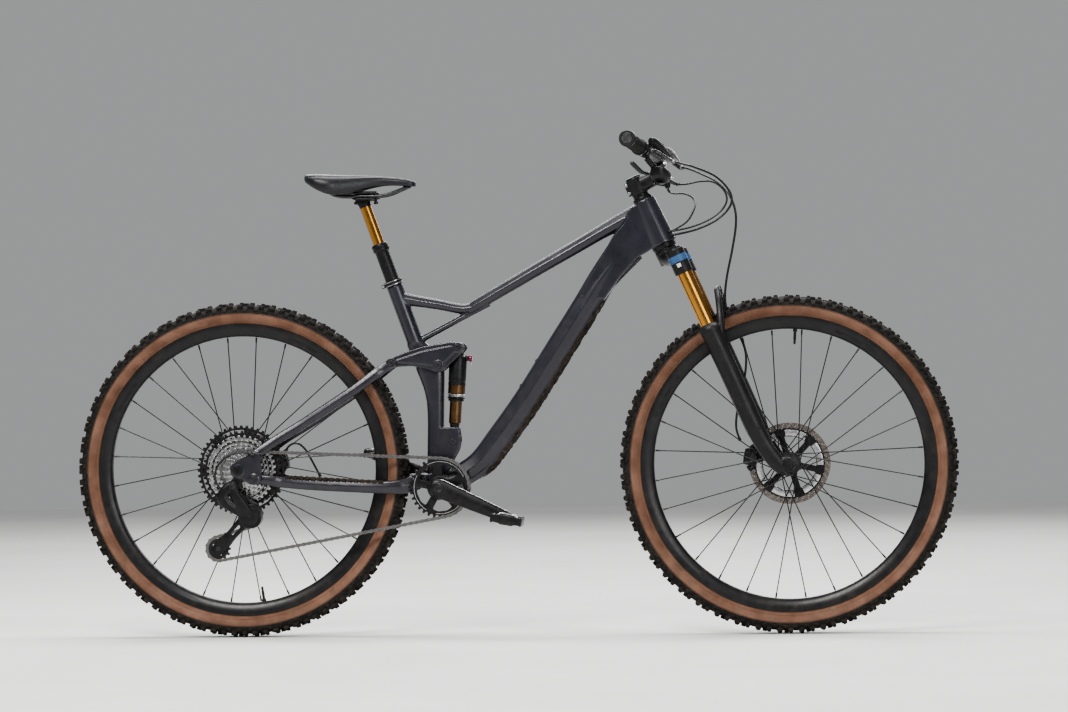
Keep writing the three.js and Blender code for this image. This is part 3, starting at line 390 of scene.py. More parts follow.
def rod(a, b, radius, sides=24, end_radius=None, soften=0.0):
    """A round bar between two points, or a cone, with softened ends."""
    a, b = Vector(a), Vector(b)
    length = (b - a).length
    turn = (b - a).to_track_quat("Z", "Y").to_matrix().to_4x4()
    turn.translation = a
    end = radius if end_radius is None else end_radius
    s = soften
    profile = [(0, 0), (radius - s, 0), (radius, s), (end, length - s), (end - s, length), (0, length)]
    return turned_up(profile, turn, sides)


def cross_bar(centre, y0, y1, radius, sides=24, soften=0.5):
    """A round bar across the bike, through [x, z]."""
    return rod((centre[0], y0, centre[1]), (centre[0], y1, centre[1]), radius, sides, soften=soften)


def block(x, y, z, matrix=None):
    """A box from its three pairs of limits."""
    points = [(a, b, c) for a in x for b in y for c in z]
    faces = [(0, 1, 3, 2), (4, 6, 7, 5), (0, 4, 5, 1), (2, 3, 7, 6), (0, 2, 6, 4), (1, 5, 7, 3)]
    shape = (points, faces)
    return moved(shape, matrix) if matrix else shape


def plate(outline, y0, y1, holes=()):
    """A flat plate in the XZ plane between y0 and y1."""
    bm = bmesh.new()
    loops, edges = [], []
    for loop in (outline, *holes):
        verts = [bm.verts.new((x, y0, z)) for x, z in loop]
        loops.append(verts)
        edges += [bm.edges.new((verts[i - 1], verts[i])) for i in range(len(verts))]
    bmesh.ops.triangle_fill(bm, use_beauty=True, edges=edges, normal=(0, -1, 0))
    bm.verts.index_update()
    points = [tuple(v.co) for v in bm.verts]
    near = [tuple(v.index for v in f.verts) for f in bm.faces]
    rings = [[v.index for v in verts] for verts in loops]
    bm.free()
    count = len(points)
    points += [(x, y1, z) for x, _, z in points]
    faces = near + [tuple(i + count for i in reversed(f)) for f in near]
    for ring in rings:
        for i, a in enumerate(ring):
            b = ring[(i + 1) % len(ring)]
            faces.append((a, b, b + count, a + count))
    return points, faces


def circle(centre, radius, count=32, start=0.0, sweep=TAU):
    """The points of a circle or an arc, in [x, z]."""
    steps = count if sweep == TAU else count + 1
    return [(centre[0] + radius * math.cos(start + i / count * sweep),
             centre[1] + radius * math.sin(start + i / count * sweep)) for i in range(steps)]


def rounded(outline, radius, steps=4):
    """The outline with each corner replaced by a short curve."""
    done = []
    count = len(outline)
    for i, p in enumerate(outline):
        p, a, b = Vector(p), Vector(outline[i - 1]), Vector(outline[(i + 1) % count])
        start = p + (a - p).normalized() * min(radius, (a - p).length * 0.45)
        end = p + (b - p).normalized() * min(radius, (b - p).length * 0.45)
        for k in range(steps + 1):
            t = k / steps
            done.append(tuple((1 - t) ** 2 * start + 2 * t * (1 - t) * p + t * t * end))
    return done


def smooth(stations, steps):
    """Points, or whole stations, on a smooth curve through the given ones."""
    out = []
    last = len(stations) - 1
    for i in range(last):
        p0, p1, p2, p3 = (stations[max(i - 1, 0)], stations[i], stations[i + 1], stations[min(i + 2, last)])
        for k in range(steps):
            t = k / steps
            out.append(tuple(0.5 * (2 * b + (c - a) * t + (2 * a - 5 * b + 4 * c - d) * t * t
                                    + (3 * b - a - 3 * c + d) * t ** 3)
                             for a, b, c, d in zip(p0, p1, p2, p3)))
    out.append(tuple(stations[last]))
    return out


def oval(centre, across, upward, half_across, half_up, sides, squareness):
    """A ring; squareness 1 is an ellipse and smaller values are squarer."""
    ring = []
    for i in range(sides):
        a = (i + 0.5) / sides * TAU
        c, s = math.cos(a), math.sin(a)
        ring.append(centre + across * (math.copysign(abs(c) ** squareness, c) * half_across)
                    + upward * (math.copysign(abs(s) ** squareness, s) * half_up))
    return ring


def tube(stations, sides=24, steps=5, across=(0, 1, 0)):
    """A tube through (x, y, z, half across, half up, squareness) stations."""
    rows = smooth(stations, steps)
    side = Vector(across)
    rings = []
    for i, row in enumerate(rows):
        before, after = Vector(rows[max(i - 1, 0)][:3]), Vector(rows[min(i + 1, len(rows) - 1)][:3])
        tangent = (after - before).normalized()
        flat = (side - tangent * side.dot(tangent)).normalized()
        rings.append(oval(Vector(row[:3]), flat, tangent.cross(flat), row[3], row[4], sides, row[5]))
    return grid(rings)


def hose(points, radius, steps=6, sides=12):
    """A round hose on a smooth curve, its section carried along without twist."""
    path = [Vector(p) for p in smooth(points, steps)]
    rows = []
    flat = None
    for i, p in enumerate(path):
        tangent = (path[min(i + 1, len(path) - 1)] - path[max(i - 1, 0)]).normalized()
        if flat is None:
            flat = tangent.orthogonal().normalized()
        flat = (flat - tangent * flat.dot(tangent)).normalized()
        rows.append(oval(p, flat, tangent.cross(flat), radius, radius, sides, 1))
    return grid(rows)


def toothed(teeth, tip, root, centre=(0, 0), start=0.0, width=0.55):
    """The outline of a sprocket."""
    outline = []
    for k in range(teeth):
        a = start + k / teeth * TAU
        step = TAU / teeth
        for offset, radius in ((-0.5, root), (-0.28, root + 0.8), (-0.28 * width + -0.02, tip),
                               (0.28 * width + 0.02, tip), (0.28, root + 0.8)):
            outline.append((centre[0] + radius * math.cos(a + offset * step),
                            centre[1] + radius * math.sin(a + offset * step)))
    return outline


# ------------------------------------------------------------------ pieces
def piece(name, shapes, materials, body, replaces=(), sharp=35, bevel=0.0, subdivide=0, voxel=0.0, relax=0):
    """One object from shapes; a shape may carry the number of its material."""
    bm = bmesh.new()
    for shape in shapes:
        points, faces = shape[0], shape[1]
        slot = shape[2] if len(shape) > 2 else 0
        verts = [bm.verts.new(Vector(p) * MM) for p in points]
        for f in faces:
            face = bm.faces.new([verts[i] for i in f])
            face.material_index = slot
            face.smooth = True
    bmesh.ops.remove_doubles(bm, verts=bm.verts[:], dist=1e-6)
    bmesh.ops.recalc_face_normals(bm, faces=bm.faces[:])
    mesh = bpy.data.meshes.new(name)
    bm.to_mesh(mesh)
    bm.free()
    obj = bpy.data.objects.new(name, mesh)
    bpy.context.collection.objects.link(obj)
    for key in materials:
        mesh.materials.append(MATERIALS[key])
    if voxel:
        remesh = obj.modifiers.new("remesh", "REMESH")
        remesh.mode = "VOXEL"
        remesh.voxel_size = voxel * MM
        relaxing = obj.modifiers.new("relax", "SMOOTH")
        relaxing.factor = 0.5
        relaxing.iterations = relax
        apply_modifiers(obj)
    if bevel:
        edge = obj.modifiers.new("bevel", "BEVEL")
        edge.width = bevel * MM
        edge.segments = 2
        edge.limit_method = "ANGLE"
        edge.angle_limit = math.radians(40)
        apply_modifiers(obj)
    if subdivide:
        finer = obj.modifiers.new("subdivide", "SUBSURF")
        finer.levels = finer.render_levels = subdivide
        apply_modifiers(obj)
    for polygon in obj.data.polygons:
        polygon.use_smooth = True
    obj.data.set_sharp_from_angle(angle=math.radians(sharp))
    if body:
        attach(obj, body)
    if replaces:
        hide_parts(*replaces)
    return obj


def apply_modifiers(obj):
    """Make the modified mesh the object's own, with its materials."""
    graph = bpy.context.evaluated_depsgraph_get()
    graph.update()
    done = bpy.data.meshes.new_from_object(obj.evaluated_get(graph))
    materials = list(obj.data.materials)
    obj.modifiers.clear()
    obj.data = done
    if not len(done.materials):
        for material in materials:
            done.materials.append(material)


def bolt(centre, y, side, radius=4.5, depth=2.5, socket=2.2):
    """A cap screw seen from one side, with its hexagonal socket."""
    y0, y1 = y, y + side * depth
    hexagon = circle(centre, socket, 6)
    low, high = min(y0, y1), max(y0, y1)
    head = plate(circle(centre, radius, 24), low, high, [hexagon])
    floor = plate(circle(centre, socket + 0.3, 12), *sorted((y0, y0 + side * 0.6)))
    return [head, floor]


def bolt_pair(centre, reach, *sizes):
    """The same screw on the right and the left of the bike."""
    return bolt(centre, -reach, -1, *sizes) + bolt(centre, reach, 1, *sizes)


# ------------------------------------------------------------------ front triangle
# points round half a section, as shares of its half width and half height
RIDGED = [(1, 0.10), (0.64, 0.84), (0.32, 1), (-0.32, 1), (-0.64, 0.84), (-1, 0.10),
          (-0.84, -0.60), (-0.42, -1), (0.42, -1), (0.84, -0.60)]


def facet_tube(stations, steps=4, across=(0, 1, 0)):
    """A tube with flat facets that meet in a ridge half way down each side."""
    rows = smooth(stations, steps)
    side = Vector(across)
    rings = []
    for i, row in enumerate(rows):
        before, after = Vector(rows[max(i - 1, 0)][:3]), Vector(rows[min(i + 1, len(rows) - 1)][:3])
        tangent = (after - before).normalized()
        flat = (side - tangent * side.dot(tangent)).normalized()
        up = tangent.cross(flat)
        rings.append([Vector(row[:3]) + flat * (a * row[3]) + up * (b * row[4]) for a, b in RIDGED])
    return grid(rings)


DOWN_TUBE = [(-152, 0, 336, 27, 26), (-108.5, 0, 357, 28, 27), (-72.4, 0, 383, 28, 28),
             (-35.2, 0, 429, 28, 29), (28.7, 0, 516.2, 27, 29), (95, 0, 618.5, 26.5, 29.2),
             (161.8, 0, 721.2, 25.6, 29.4), (201, 0, 781, 24, 31.5), (258, 0, 851, 21, 40),]
TOP_TUBE = [
    (-98, 0, 716, 15, 11.5), (-62, 0, 737, 17, 13.5), (60, 0, 806, 18, 14.5), (150, 0, 856, 18, 15),
    (203, 0, 886, 18, 15.5), (245, 0, 908, 19, 17.5), (284, 0, 927, 20, 19),
]
SEAT_TUBE = [
    (-220.5, 0, 650, 17, 17.5, 0.75), (-197, 0, 615, 17, 27, 0.75), (-184, 0, 590, 17.4, 31, 0.72),
    (-173.5, 0, 515, 17.4, 19.5, 0.72), (-174, 0, 400, 18, 19, 0.72), (-168, 0, 345, 19, 27, 0.72),
]


def main_frame():
    """The bonded front triangle, melted into one shell by a voxel remesh."""
    upper_end, top = SEATING @ Vector((0, 0, -135)), SEATING @ Vector((0, 0, 0))
    head_low, head_high = STEERING @ Vector((0, 0, -106)), STEERING @ Vector((0, 0, 0))
    rear_top_tube = facet_tube([(-252, 0, 745.5, 16, 15), (-228, 0, 741, 15.5, 13), (-165, 0, 730, 15, 11.5),
                                (-105, 0, 719.5, 15, 11), (-62, 0, 735, 15, 11)])
    strut = facet_tube([(-228, 0, 641.5, 10, 8), (-200, 0, 655, 9, 7), (-110, 0, 701, 9, 6.8),
                        (-52, 0, 731, 12, 8)])
    gusset = [(268, 939), (288, 946), (338, 872), (330, 858), (300, 838), (281, 828), (240, 785), (205, 736),
              (150, 745), (213, 853), (228, 878), (252, 905)]
    towers = [(-160, 460), (-121, 460), (-117, 430), (-122, 408), (-134, 388), (-150, 340), (-175, 345)]
    shapes = [
        tube(SEAT_TUBE, sides=20), rod(upper_end, top, 18.2), facet_tube(DOWN_TUBE), facet_tube(TOP_TUBE),
        rear_top_tube, strut, rod(head_low, head_high, 31.5, 36, 26.6), plate(gusset, -22, 22),
        cross_bar(BOTTOM_BRACKET, -45, 45, 25.5, 36), cross_bar(MAIN_PIVOT, -19.5, 19.5, 13),
        block((-212, -165), (-19, 19), (332, 357)),
    ]
    shapes += both_sides(plate(rounded(towers, 5), 10.8, 17.5))
    piece("frame_shell", shapes, ["frame"], "frame", ["main_frame"], sharp=60, voxel=1.5, relax=10)


def frame_details():
    """Bottom bracket cups, bolts, bottle bosses and the rubber guard."""
    for side in (-1, 1):
        y0, y1 = sorted((side * 44.5, side * 51))
        ring = turned([(13.2, y0), (24.5, y0), (24.5, y1 - 1), (23.5, y1), (13.2, y1)] if side > 0 else
                      [(13.2, y1), (24.5, y1), (24.5, y0 + 1), (23.5, y0), (13.2, y0)], 40, BOTTOM_BRACKET)
        piece(f"bottom_bracket_cup_{'left' if side > 0 else 'right'}", [ring], ["black"], "frame")
    piece("shock_mount_bolts", bolt_pair(SHOCK_BOTTOM, 17.2, 6.5, 2.6, 2.6), ["dark_steel"], "frame",
          bevel=0.25)
    bosses = []
    for x, z in ((51.8, 604), (16.5, 549.7)):
        normal = Vector((-0.8388, 0, 0.5445))
        p = Vector((x, 0, z))
        bosses.append(rod(p - normal * 8, p - normal * 0.2, 6.4, 20, soften=0.6))
        bosses.append(rod(p - normal * 0.4, p + normal * 2.2, 4.3, 20, soften=0.9))
    piece("bottle_boss_screws", bosses, ["dark_steel"], "frame")
    guard_rows = []
    stations = smooth([(s[0], s[1], s[2], s[3], s[4]) for s in DOWN_TUBE[1:-1]], 14)
    for i, (x, _, z, across, up) in enumerate(stations):
        before, after = stations[max(i - 1, 0)], stations[min(i + 1, len(stations) - 1)]
        tangent = Vector((after[0] - before[0], 0, after[2] - before[2])).normalized()
        outward = Vector((tangent.z, 0, -tangent.x))
        ring = []
        for k in range(16):
            t = -1 + 2 * k / 15
            half = across * 0.80
            lift = up * (1 - 0.42 * t ** 4) - 6 * t ** 2 * abs(t)
            fade = min(1, 5 * i / len(stations), 5 * (len(stations) - 1 - i) / len(stations))
            rough = random.uniform(0.2, 5.4) * fade if 0 < k < 15 else 0.3
            lift = lift * (0.93 + 0.07 * fade)
            ring.append(Vector((x, t * half, z)) + outward * (lift + rough))
        for k in range(16):
            t = 1 - 2 * k / 15
            ring.append(Vector((x, t * across * 0.7, z)) + outward * (up * 0.45))
        guard_rows.append(ring)
    piece("down_tube_guard", [grid(guard_rows)], ["guard"], "frame", sharp=50)
    piece("chainstay_pivot_bolts", bolt_pair(MAIN_PIVOT, 36.2, 8.5, 2.5, 3.2), ["dark_steel"], "chainstay",
          bevel=0.3)


def headset():
    """The two cups that close the ends of the head tube, with the spacer above."""
    upper = [(14.8, -12), (17.6, -12), (17.6, 0.4), (22.2, 0.4), (22.4, 1.2), (20.8, 7.4), (20, 8), (18, 8.3),
             (18, 10.6), (17.4, 10.9), (18, 11.2), (18, 13.5), (14.8, 13.5)]
    lower = [(14.8, -116), (26, -116), (26.8, -113), (27, -106.4), (17.6, -106.4), (17.6, -97), (14.8, -97)]
    piece("headset_upper", [turned_up(upper, STEERING, 48)], ["black"], "frame", ["headset_upper_cup"],
          sharp=30)
    piece("headset_lower", [turned_up(lower, STEERING, 48)], ["black"], "frame", ["headset_lower_cup"],
          sharp=30)


# ------------------------------------------------------------------ seat post and saddle
def seat_post():
    """The collar, the fixed outer tube, the gold stanchion and the clamp for the rails."""
    ring = turned_up([(16.2, 0.5), (20.4, 0.5), (21, 1.2), (21, 3.4), (20.2, 4), (20.2, 8.2), (21, 8.8),
                      (21, 11.2), (20.4, 12), (16.2, 12)], SEATING, 48)
    lug = block((-27, -18.5), (-6.5, 6.5), (2.2, 10.8), SEATING)
    pin = rod(SEATING @ Vector((-23.5, -8.5, 6.5)), SEATING @ Vector((-23.5, 8.5, 6.5)), 3.2, 20, soften=0.5)
    piece("collar", [ring, lug], ["black"], "frame", ["seat_collar"], bevel=0.5)
    piece("collar_screw", [pin], ["steel"], "frame")
    lines = [turned_up([(21.05, h), (21.35, h), (21.35, h + 1.3), (21.05, h + 1.3)], SEATING,
                       48) for h in (1.6, 9.2)]
    piece("collar_lines", lines, ["steel"], "frame")
    outer = [(0, -118), (15.4, -118), (15.4, 79), (16, 80), (17.4, 81), (18.6, 84), (18.6, 87.4),
             (17.9, 88), (17.9, 90), (18.6, 90.6), (18.6, 95), (17.6, 97.6), (15.2, 99), (13.1, 99),
             (13.1, -55), (0, -55)]
    piece("post_outer", [turned_up(outer, SEATING, 56)], ["black"], "frame", ["seatpost_outer"], sharp=28)
    clamp = SEATING @ Vector((0, 0, 200))
    x, z = clamp.x, clamp.z
    stem = rod(SEATING @ Vector((0, 0, 50)), SEATING @ Vector((0, 0, 190)), 12.6, 56)
    piece("post_inner", [stem], ["gold"], "dropper", ["seatpost_stanchion"])
    head = [
        rod((x - 1, -17, z - 1), (x - 1, 17, z - 1), 12.6, 32, soften=1.5),
        turned_up([(0, 185.5), (12.9, 185.5), (13.4, 187), (13.4, 192), (11, 198), (0, 198)], SEATING, 40),
    ]
    piece("post_head", head, ["black"], "dropper", sharp=40)
    rail_clamps = []
    for bolt_x in (-344, -300):
        lean = (bolt_x + 322) * 0.28
        rail_clamps.append(rod((bolt_x, 0, 957), (bolt_x - lean * 0.2, 0, 983), 2.6, 16))
        rail_clamps.append(rod((bolt_x, 0, 954), (bolt_x, 0, 960), 4.8, 20, soften=0.8))
    cradle = tube([(-352, 0, 969, 9, 3.5, 0.6), (-336, 0, 964.5, 13, 4, 0.6), (-308, 0, 964.5, 13, 4, 0.6),
                   (-292, 0, 969, 9, 3.5, 0.6)], 20, 4)
    caps = both_sides(tube([(-347, 22, 977, 5.5, 2.6, 0.6), (-340, 22, 979, 6, 3.2, 0.6),
                            (-304, 22, 979, 6, 3.2, 0.6), (-297, 22, 977, 5.5, 2.6, 0.6)], 16, 3))
    lower = both_sides(tube([(-343, 20, 966, 6, 2.8, 0.6), (-322, 21, 965, 7, 3.2, 0.6),
                             (-301, 20, 966, 6, 2.8, 0.6)], 16, 3))
    bridge = block((-334, -310), (-27, 27), (976.8, 980.6))
    piece("rail_clamp", [cradle, bridge] + caps + lower, ["black"], "dropper", bevel=0.4)
    piece("rail_clamp_bolts", rail_clamps, ["dark_steel"], "dropper")


def saddle():
    """The padded cover with its seams, and the rails under it."""
    stations = [(-456, 24, 1018, 9), (-452, 42, 1020.2, 15), (-446, 55, 1021, 21), (-425, 68, 1021, 34),
                (-395, 69, 1019.4, 44), (-360, 53, 1017.6, 40), (-320, 35, 1016.4, 28),
                (-280, 25, 1014, 19), (-240, 20.5, 1009.5, 15.5), (-222, 17.5, 1006, 13.5),
                (-214, 12.5, 1003, 11), (-211.5, 6, 1000.5, 7),]
    rows = []
    for x, w, top, depth in smooth(stations, 5):
        crown = 2.0 * min(1, w / 45)
        side = []
        profile = [(0.0, -crown * 0.7), (0.14, -crown * 0.3), (0.32, 0.2), (0.55, 0.4),
                   (0.76, -0.05 * depth), (0.90, -0.17 * depth), (0.975, -0.34 * depth),
                   (1.0, -0.52 * depth), (0.995, -0.74 * depth), (0.965, -0.92 * depth),
                   (0.93, -1.0 * depth), (0.88, -1.02 * depth), (0.80, -0.93 * depth)]
        for share, drop in profile:
            side.append((x, w * share, top + drop))
        inner = [(x, w * 0.62, top - min(depth * 0.62, 15)), (x, w * 0.3, top - min(depth * 0.55, 12.5)),
                 (x, 0, top - min(depth * 0.52, 12))]
        half = side + inner
        rows.append(half + [(a, -b, c) for a, b, c in half[1:-1][::-1]])
    cover = piece("saddle_cover", [grid(rows)], ["saddle"], "dropper", ["saddle"], subdivide=1, sharp=70)
    seam = []
    for side in (-1, 1):
        path = [(x, side * w * 0.93, top - depth * 0.19) for x, w, top, depth in smooth(stations[2:-2], 6)]
        seam.append(hose(path, 0.55, 1, 8))
    piece("saddle_seams", seam, ["plastic"], "dropper")
    half = [(-424, 33, 997), (-414, 33, 990), (-404, 30, 983), (-388, 24, 974), (-370, 22, 971.8),
            (-330, 22, 971.6), (-290, 22, 971.8), (-268, 20, 975.5), (-245, 14, 984), (-233, 9, 988.5),
            (-226, 4, 990.5), (-224.5, 0, 991)]
    rails = hose(half + [(x, -y, z) for x, y, z in half[:-1][::-1]], 3.5, 5, 14)
    piece("rails", [rails], ["dark_steel"], "dropper", ["saddle_rails"])
    sockets = both_sides(tube([(-432, 34, 1003, 8, 5, 0.7), (-418, 34, 994, 6, 6, 0.7)], 16, 2))
    sockets.append(tube([(-238, 0, 994, 12, 4, 0.7), (-222, 0, 995.5, 9, 4.5, 0.7)], 16, 2))
    piece("rail_sockets", sockets, ["plastic"], "dropper")


# ------------------------------------------------------------------ rear suspension
def rocker():
    """The link from the seatstays to the shock, on its pivot in the seat tube."""
    outline = [(-274, 593), (-280, 603), (-273, 612), (-236, 626.5), (-200, 637.5), (-134, 648),
               (-110, 645), (-102, 634), (-112, 621), (-148, 588), (-158, 581), (-170, 581), (-182, 587.5),
               (-222, 595.5)]
    shapes = both_sides(plate(rounded(outline, 7, 5), 20.2, 28.2))
    shapes += both_sides(plate(rounded([(-262, 606), (-200, 626), (-136, 638), (-118, 634), (-150, 604),
                                        (-166, 596), (-215, 602)], 8, 5), 27, 30))
    shapes.append(cross_bar((-150, 630), -21, 21, 7))
    shapes += both_sides(cross_bar(ROCKER_PIVOT, 18.4, 31, 11.5, 32))
    shapes += both_sides(cross_bar(SHOCK_TOP, 20.2, 30, 10.5, 32))
    piece("rocker_shell", shapes, ["frame"], "rocker", ["rocker_link"], sharp=45, voxel=1.3, relax=3)
    bolts = bolt_pair(ROCKER_PIVOT, 31, 7.2, 2.4, 2.8) + bolt_pair(SHOCK_TOP, 29.8, 6.2, 2.4, 2.8)
    piece("rocker_bolts", bolts, ["dark_steel"], "rocker", bevel=0.3)
    piece("shock_pin", [cross_bar(SHOCK_TOP, -20.4, 20.4, 5.4)], ["dark_steel"], "rocker")


SEATSTAY = [(-587, 78.3, 390.5, 3.8, 11), (-560, 73.5, 409, 4.6, 10.4), (-520, 63.5, 436.5, 6.4, 10.6),
            (-470, 57, 466, 7, 10.8), (-430, 54, 491.5, 7, 11), (-348, 48, 544.5, 7, 11),
            (-305, 42, 576, 5.8, 11.5), (-285, 36.5, 590.5, 4.4, 10.8), (-264, 34, 604, 3.8, 9.5),]
CHAINSTAY = [(-568, 69.2, 352, 3.8, 9.5), (-530, 67, 347, 4.4, 11), (-500, 57, 342.5, 6.5, 12),
             (-430, 50, 336.5, 7.5, 12.5), (-330, 45, 331, 8, 13), (-262, 41, 329.5, 6.5, 15),
             (-238, 36, 332, 6, 16.5), (-219, 29, 338, 7, 17),]


def seatstays():
    """Both stays with their dropouts, the hanger, the pivot bolts and the rear axle."""
    dropout = [(-622, 380), (-598, 397), (-567, 413), (-552, 405), (-552, 350), (-559, 340), (-577, 339.5),
               (-592, 351), (-603, 350), (-618, 360)]
    hanger = [(-604, 362), (-589, 352), (-601, 330), (-613, 324.5), (-626, 333), (-619, 350)]
    stay = facet_tube(SEATSTAY, 5)
    shared = [
        stay, cross_bar(STAY_PIVOT, 30.4, 38.2, 11, 32), plate(rounded(dropout, 5), 74.4, 82.2),
        cross_bar(HORST_PIVOT, 79, 84, 10.5, 32), cross_bar(REAR_HUB, 74.4, 83, 13.5, 32),
    ]
    piece("seatstay_left_shell", shared, ["frame"], "seatstay", ["seatstay_left"], sharp=50, voxel=1.4,
          relax=3)
    right = [mirrored(s) for s in shared]
    piece("seatstay_right_shell", right, ["frame"], "seatstay", ["seatstay_right"], sharp=50, voxel=1.4,
          relax=3)
    piece("derailleur_hanger", [plate(rounded(hanger, 4), -81.6, -75.2)], ["black"], "seatstay", bevel=0.5)
    bolts = bolt_pair(STAY_PIVOT, 38.3, 6.4, 2.2, 2.5) + bolt_pair(HORST_PIVOT, 84.1, 7.4, 1.6, 3)
    piece("seatstay_bolts", bolts, ["dark_steel"], "seatstay", bevel=0.3)
    axle = [cross_bar(REAR_HUB, -86, 86, 6, 28)]
    axle += bolt(REAR_HUB, -82.9, -1, 9.4, 5.2, 3.1)
    axle.append(turned([(6.2, 82.4), (9, 82.4), (9, 85.8), (8, 86.6), (6.2, 86.6)], 32, REAR_HUB))
    piece("rear_axle_pin", axle, ["black"], "seatstay", ["rear_axle"], bevel=0.4)


def chainstay():
    """Both stays and the yoke at the main pivot, with the ribbed guard on the right one."""
    shapes = both_sides(facet_tube(CHAINSTAY, 5))
    shapes += both_sides(cross_bar(HORST_PIVOT, 65.4, 73.2, 11, 32))
    shapes += both_sides(cross_bar(MAIN_PIVOT, 20.6, 35.4, 13.5, 32))
    shapes.append(block((-231.5, -217), (-33, 33), (333, 357.5)))
    shapes.append(cross_bar(MAIN_PIVOT, -35, 35, 6))
    piece("chainstay_shell", shapes, ["frame"], "chainstay", ["chainstay"], sharp=50, voxel=1.6, relax=3)
    ribs = []
    for k in range(16):
        x = -500 + k * 13.5
        y = 57 + (x + 500) * (45 - 57) / 170 if x < -330 else 45 + (x + 330) * (41 - 45) / 80
        z = 342.5 + (x + 500) * (331 - 342.5) / 170
        ribs.append(tube([(x, -y, z + 10.5, 6.6, 4.6, 0.7), (x + 5, -y, z + 12.5, 6.8, 4.4, 0.7),
                          (x + 11, -y, z + 10.5, 6.6, 4.6, 0.7)], 14, 2))
    piece("chainstay_guard", ribs, ["guard"], "chainstay", sharp=60)


def on_shock(x, y, height):
    """A point in the shock's own frame, height up from its lower eyelet."""
    return tuple(SHOCK @ Vector((x, y, height)))


def shock():
    """The can rides on the upper eyelet and slides over the shaft of the lower one."""
    top = SHOCK_LENGTH
    can = [(0, top - 17), (13, top - 17.5), (17.6, top - 21), (19.3, top - 26), (19.3, top - 74),
           (18.9, top - 74.6), (18.9, top - 78), (19.3, top - 78.6), (19.3, top - 84), (14.2, top - 84),
           (14.2, top - 40), (0, top - 40)]
    piece("shock_air_can", [turned_up(can, SHOCK, 48)], ["black"], "shock_upper", ["shock_can"], sharp=32)
    sleeve = [(14.2, top - 84.1), (18.8, top - 84.1), (18.8, top - 103), (14.2, top - 103)]
    piece("shock_sleeve", [turned_up(sleeve, SHOCK, 48)], ["bronze"], "shock_upper", sharp=32)
    rings = []
    for low, high, radius in ((104, 107, 19.2), (107.6, 110, 18.4), (110.6, 114, 19.2), (114.5, 119.5, 17.2)):
        rings.append(turned_up([(14.1, top - high), (radius - 0.4, top - high), (radius, top - high + 0.5),
                                (radius, top - low - 0.5), (radius - 0.4, top - low), (14.1, top - low)],
                               SHOCK, 48))
    piece("shock_collar_rings", rings[:2], ["steel"], "shock_upper", sharp=32)
    piece("shock_seal_head", rings[2:], ["black"], "shock_upper", sharp=32)
    eye = [rod(on_shock(0, -18.3, top), on_shock(0, 18.3, top), 9.6, 36, soften=0.8),
           tube([on_shock(0, 0, top - 20) + (15, 13, 0.7), on_shock(0, 0, top - 4) +
                 (12, 9, 0.8)], 24, 3),
           rod(on_shock(6, 0, top - 24), on_shock(23.5, 0, top - 24), 6.2, 24)]
    piece("shock_eyelet", eye, ["black"], "shock_upper", voxel=1.0, relax=2, sharp=50)
    shaft = rod(on_shock(0, 0, 40), on_shock(0, 0, 117), 13.4, 48, soften=1)
    piece("shock_body_tube", [shaft], ["bronze"], "shock_lower", ["shock_shaft"])
    foot = [rod(on_shock(0, -10.3, 0), on_shock(0, 10.3, 0), 12, 36, soften=0.8),
            tube([on_shock(0, 0, 3) + (10.3, 9, 0.8), on_shock(0, 0, 34) + (10.3, 10.3, 0.9),
                  on_shock(0, 0, 41) + (13.2, 13.2, 1)], 28, 3)]
    piece("shock_foot", foot, ["black"], "shock_lower", voxel=1.0, relax=2, sharp=50)
    o_ring = turned_up([(13.5, 98), (14.6, 98.4), (14.6, 100.2), (13.5, 100.6)], SHOCK, 40)
    piece("shock_o_ring", [o_ring], ["plastic"], "shock_upper")
    height = top - 24
    knob = [rod(on_shock(24.3, 0, height), on_shock(30.5, 0, height), 7.6, 32, soften=0.8)]
    piece("rebound_knob", knob, ["anodised"], "shock_lever", ["shock_lever"])
    arm = tube([on_shock(29, 0, height + 3) + (3.2, 1.6, 0.6),
                on_shock(29.5, 0, height - 8) + (3, 1.5, 0.6),
                on_shock(30, 0, height - 17) + (2.4, 1.2, 0.6)], 14, 4)
    piece("compression_lever", [arm, rod(on_shock(30.4, 0, height), on_shock(32, 0, height), 3.4, 20,
                                         soften=0.5)], ["steel"], "shock_lever")


# ------------------------------------------------------------------ wheels
def around(centre, angle, shape):
    """The shape, made at the top of the wheel, turned round the axle at a centre [x, z]."""
    turn = Matrix.Translation((centre[0], 0, centre[1])) @ Matrix.Rotation(angle, 4, "Y")
    return moved(shape, turn)


def lump(y0, y1, r0, r1, width, lean=0.0, taper=0.82):
    """A tread block at the top of a tyre, between two widths and radii."""
    half = width / 2
    low = [(-half, y0, r0), (half, y0, r0), (half, y1, r0), (-half, y1, r0)]
    mid_y, spread = (y0 + y1) / 2, taper
    high = [(x * spread + lean, mid_y + (y - mid_y) * spread, r1) for x, y, _ in low]
    return low + high, [(3, 2, 1, 0), (4, 5, 6, 7), (0, 1, 5, 4), (1, 2, 6, 5), (2, 3, 7, 6), (3, 0, 4, 7)]


TREAD_REPEATS = 96
SPOKE_COUNT = 28
ROTOR_ARMS = 6
ROTOR_BAND = 15
FRONT_ROTOR = {"y": 44, "radius": 90}
REAR_ROTOR = {"y": 58.2, "radius": 80}


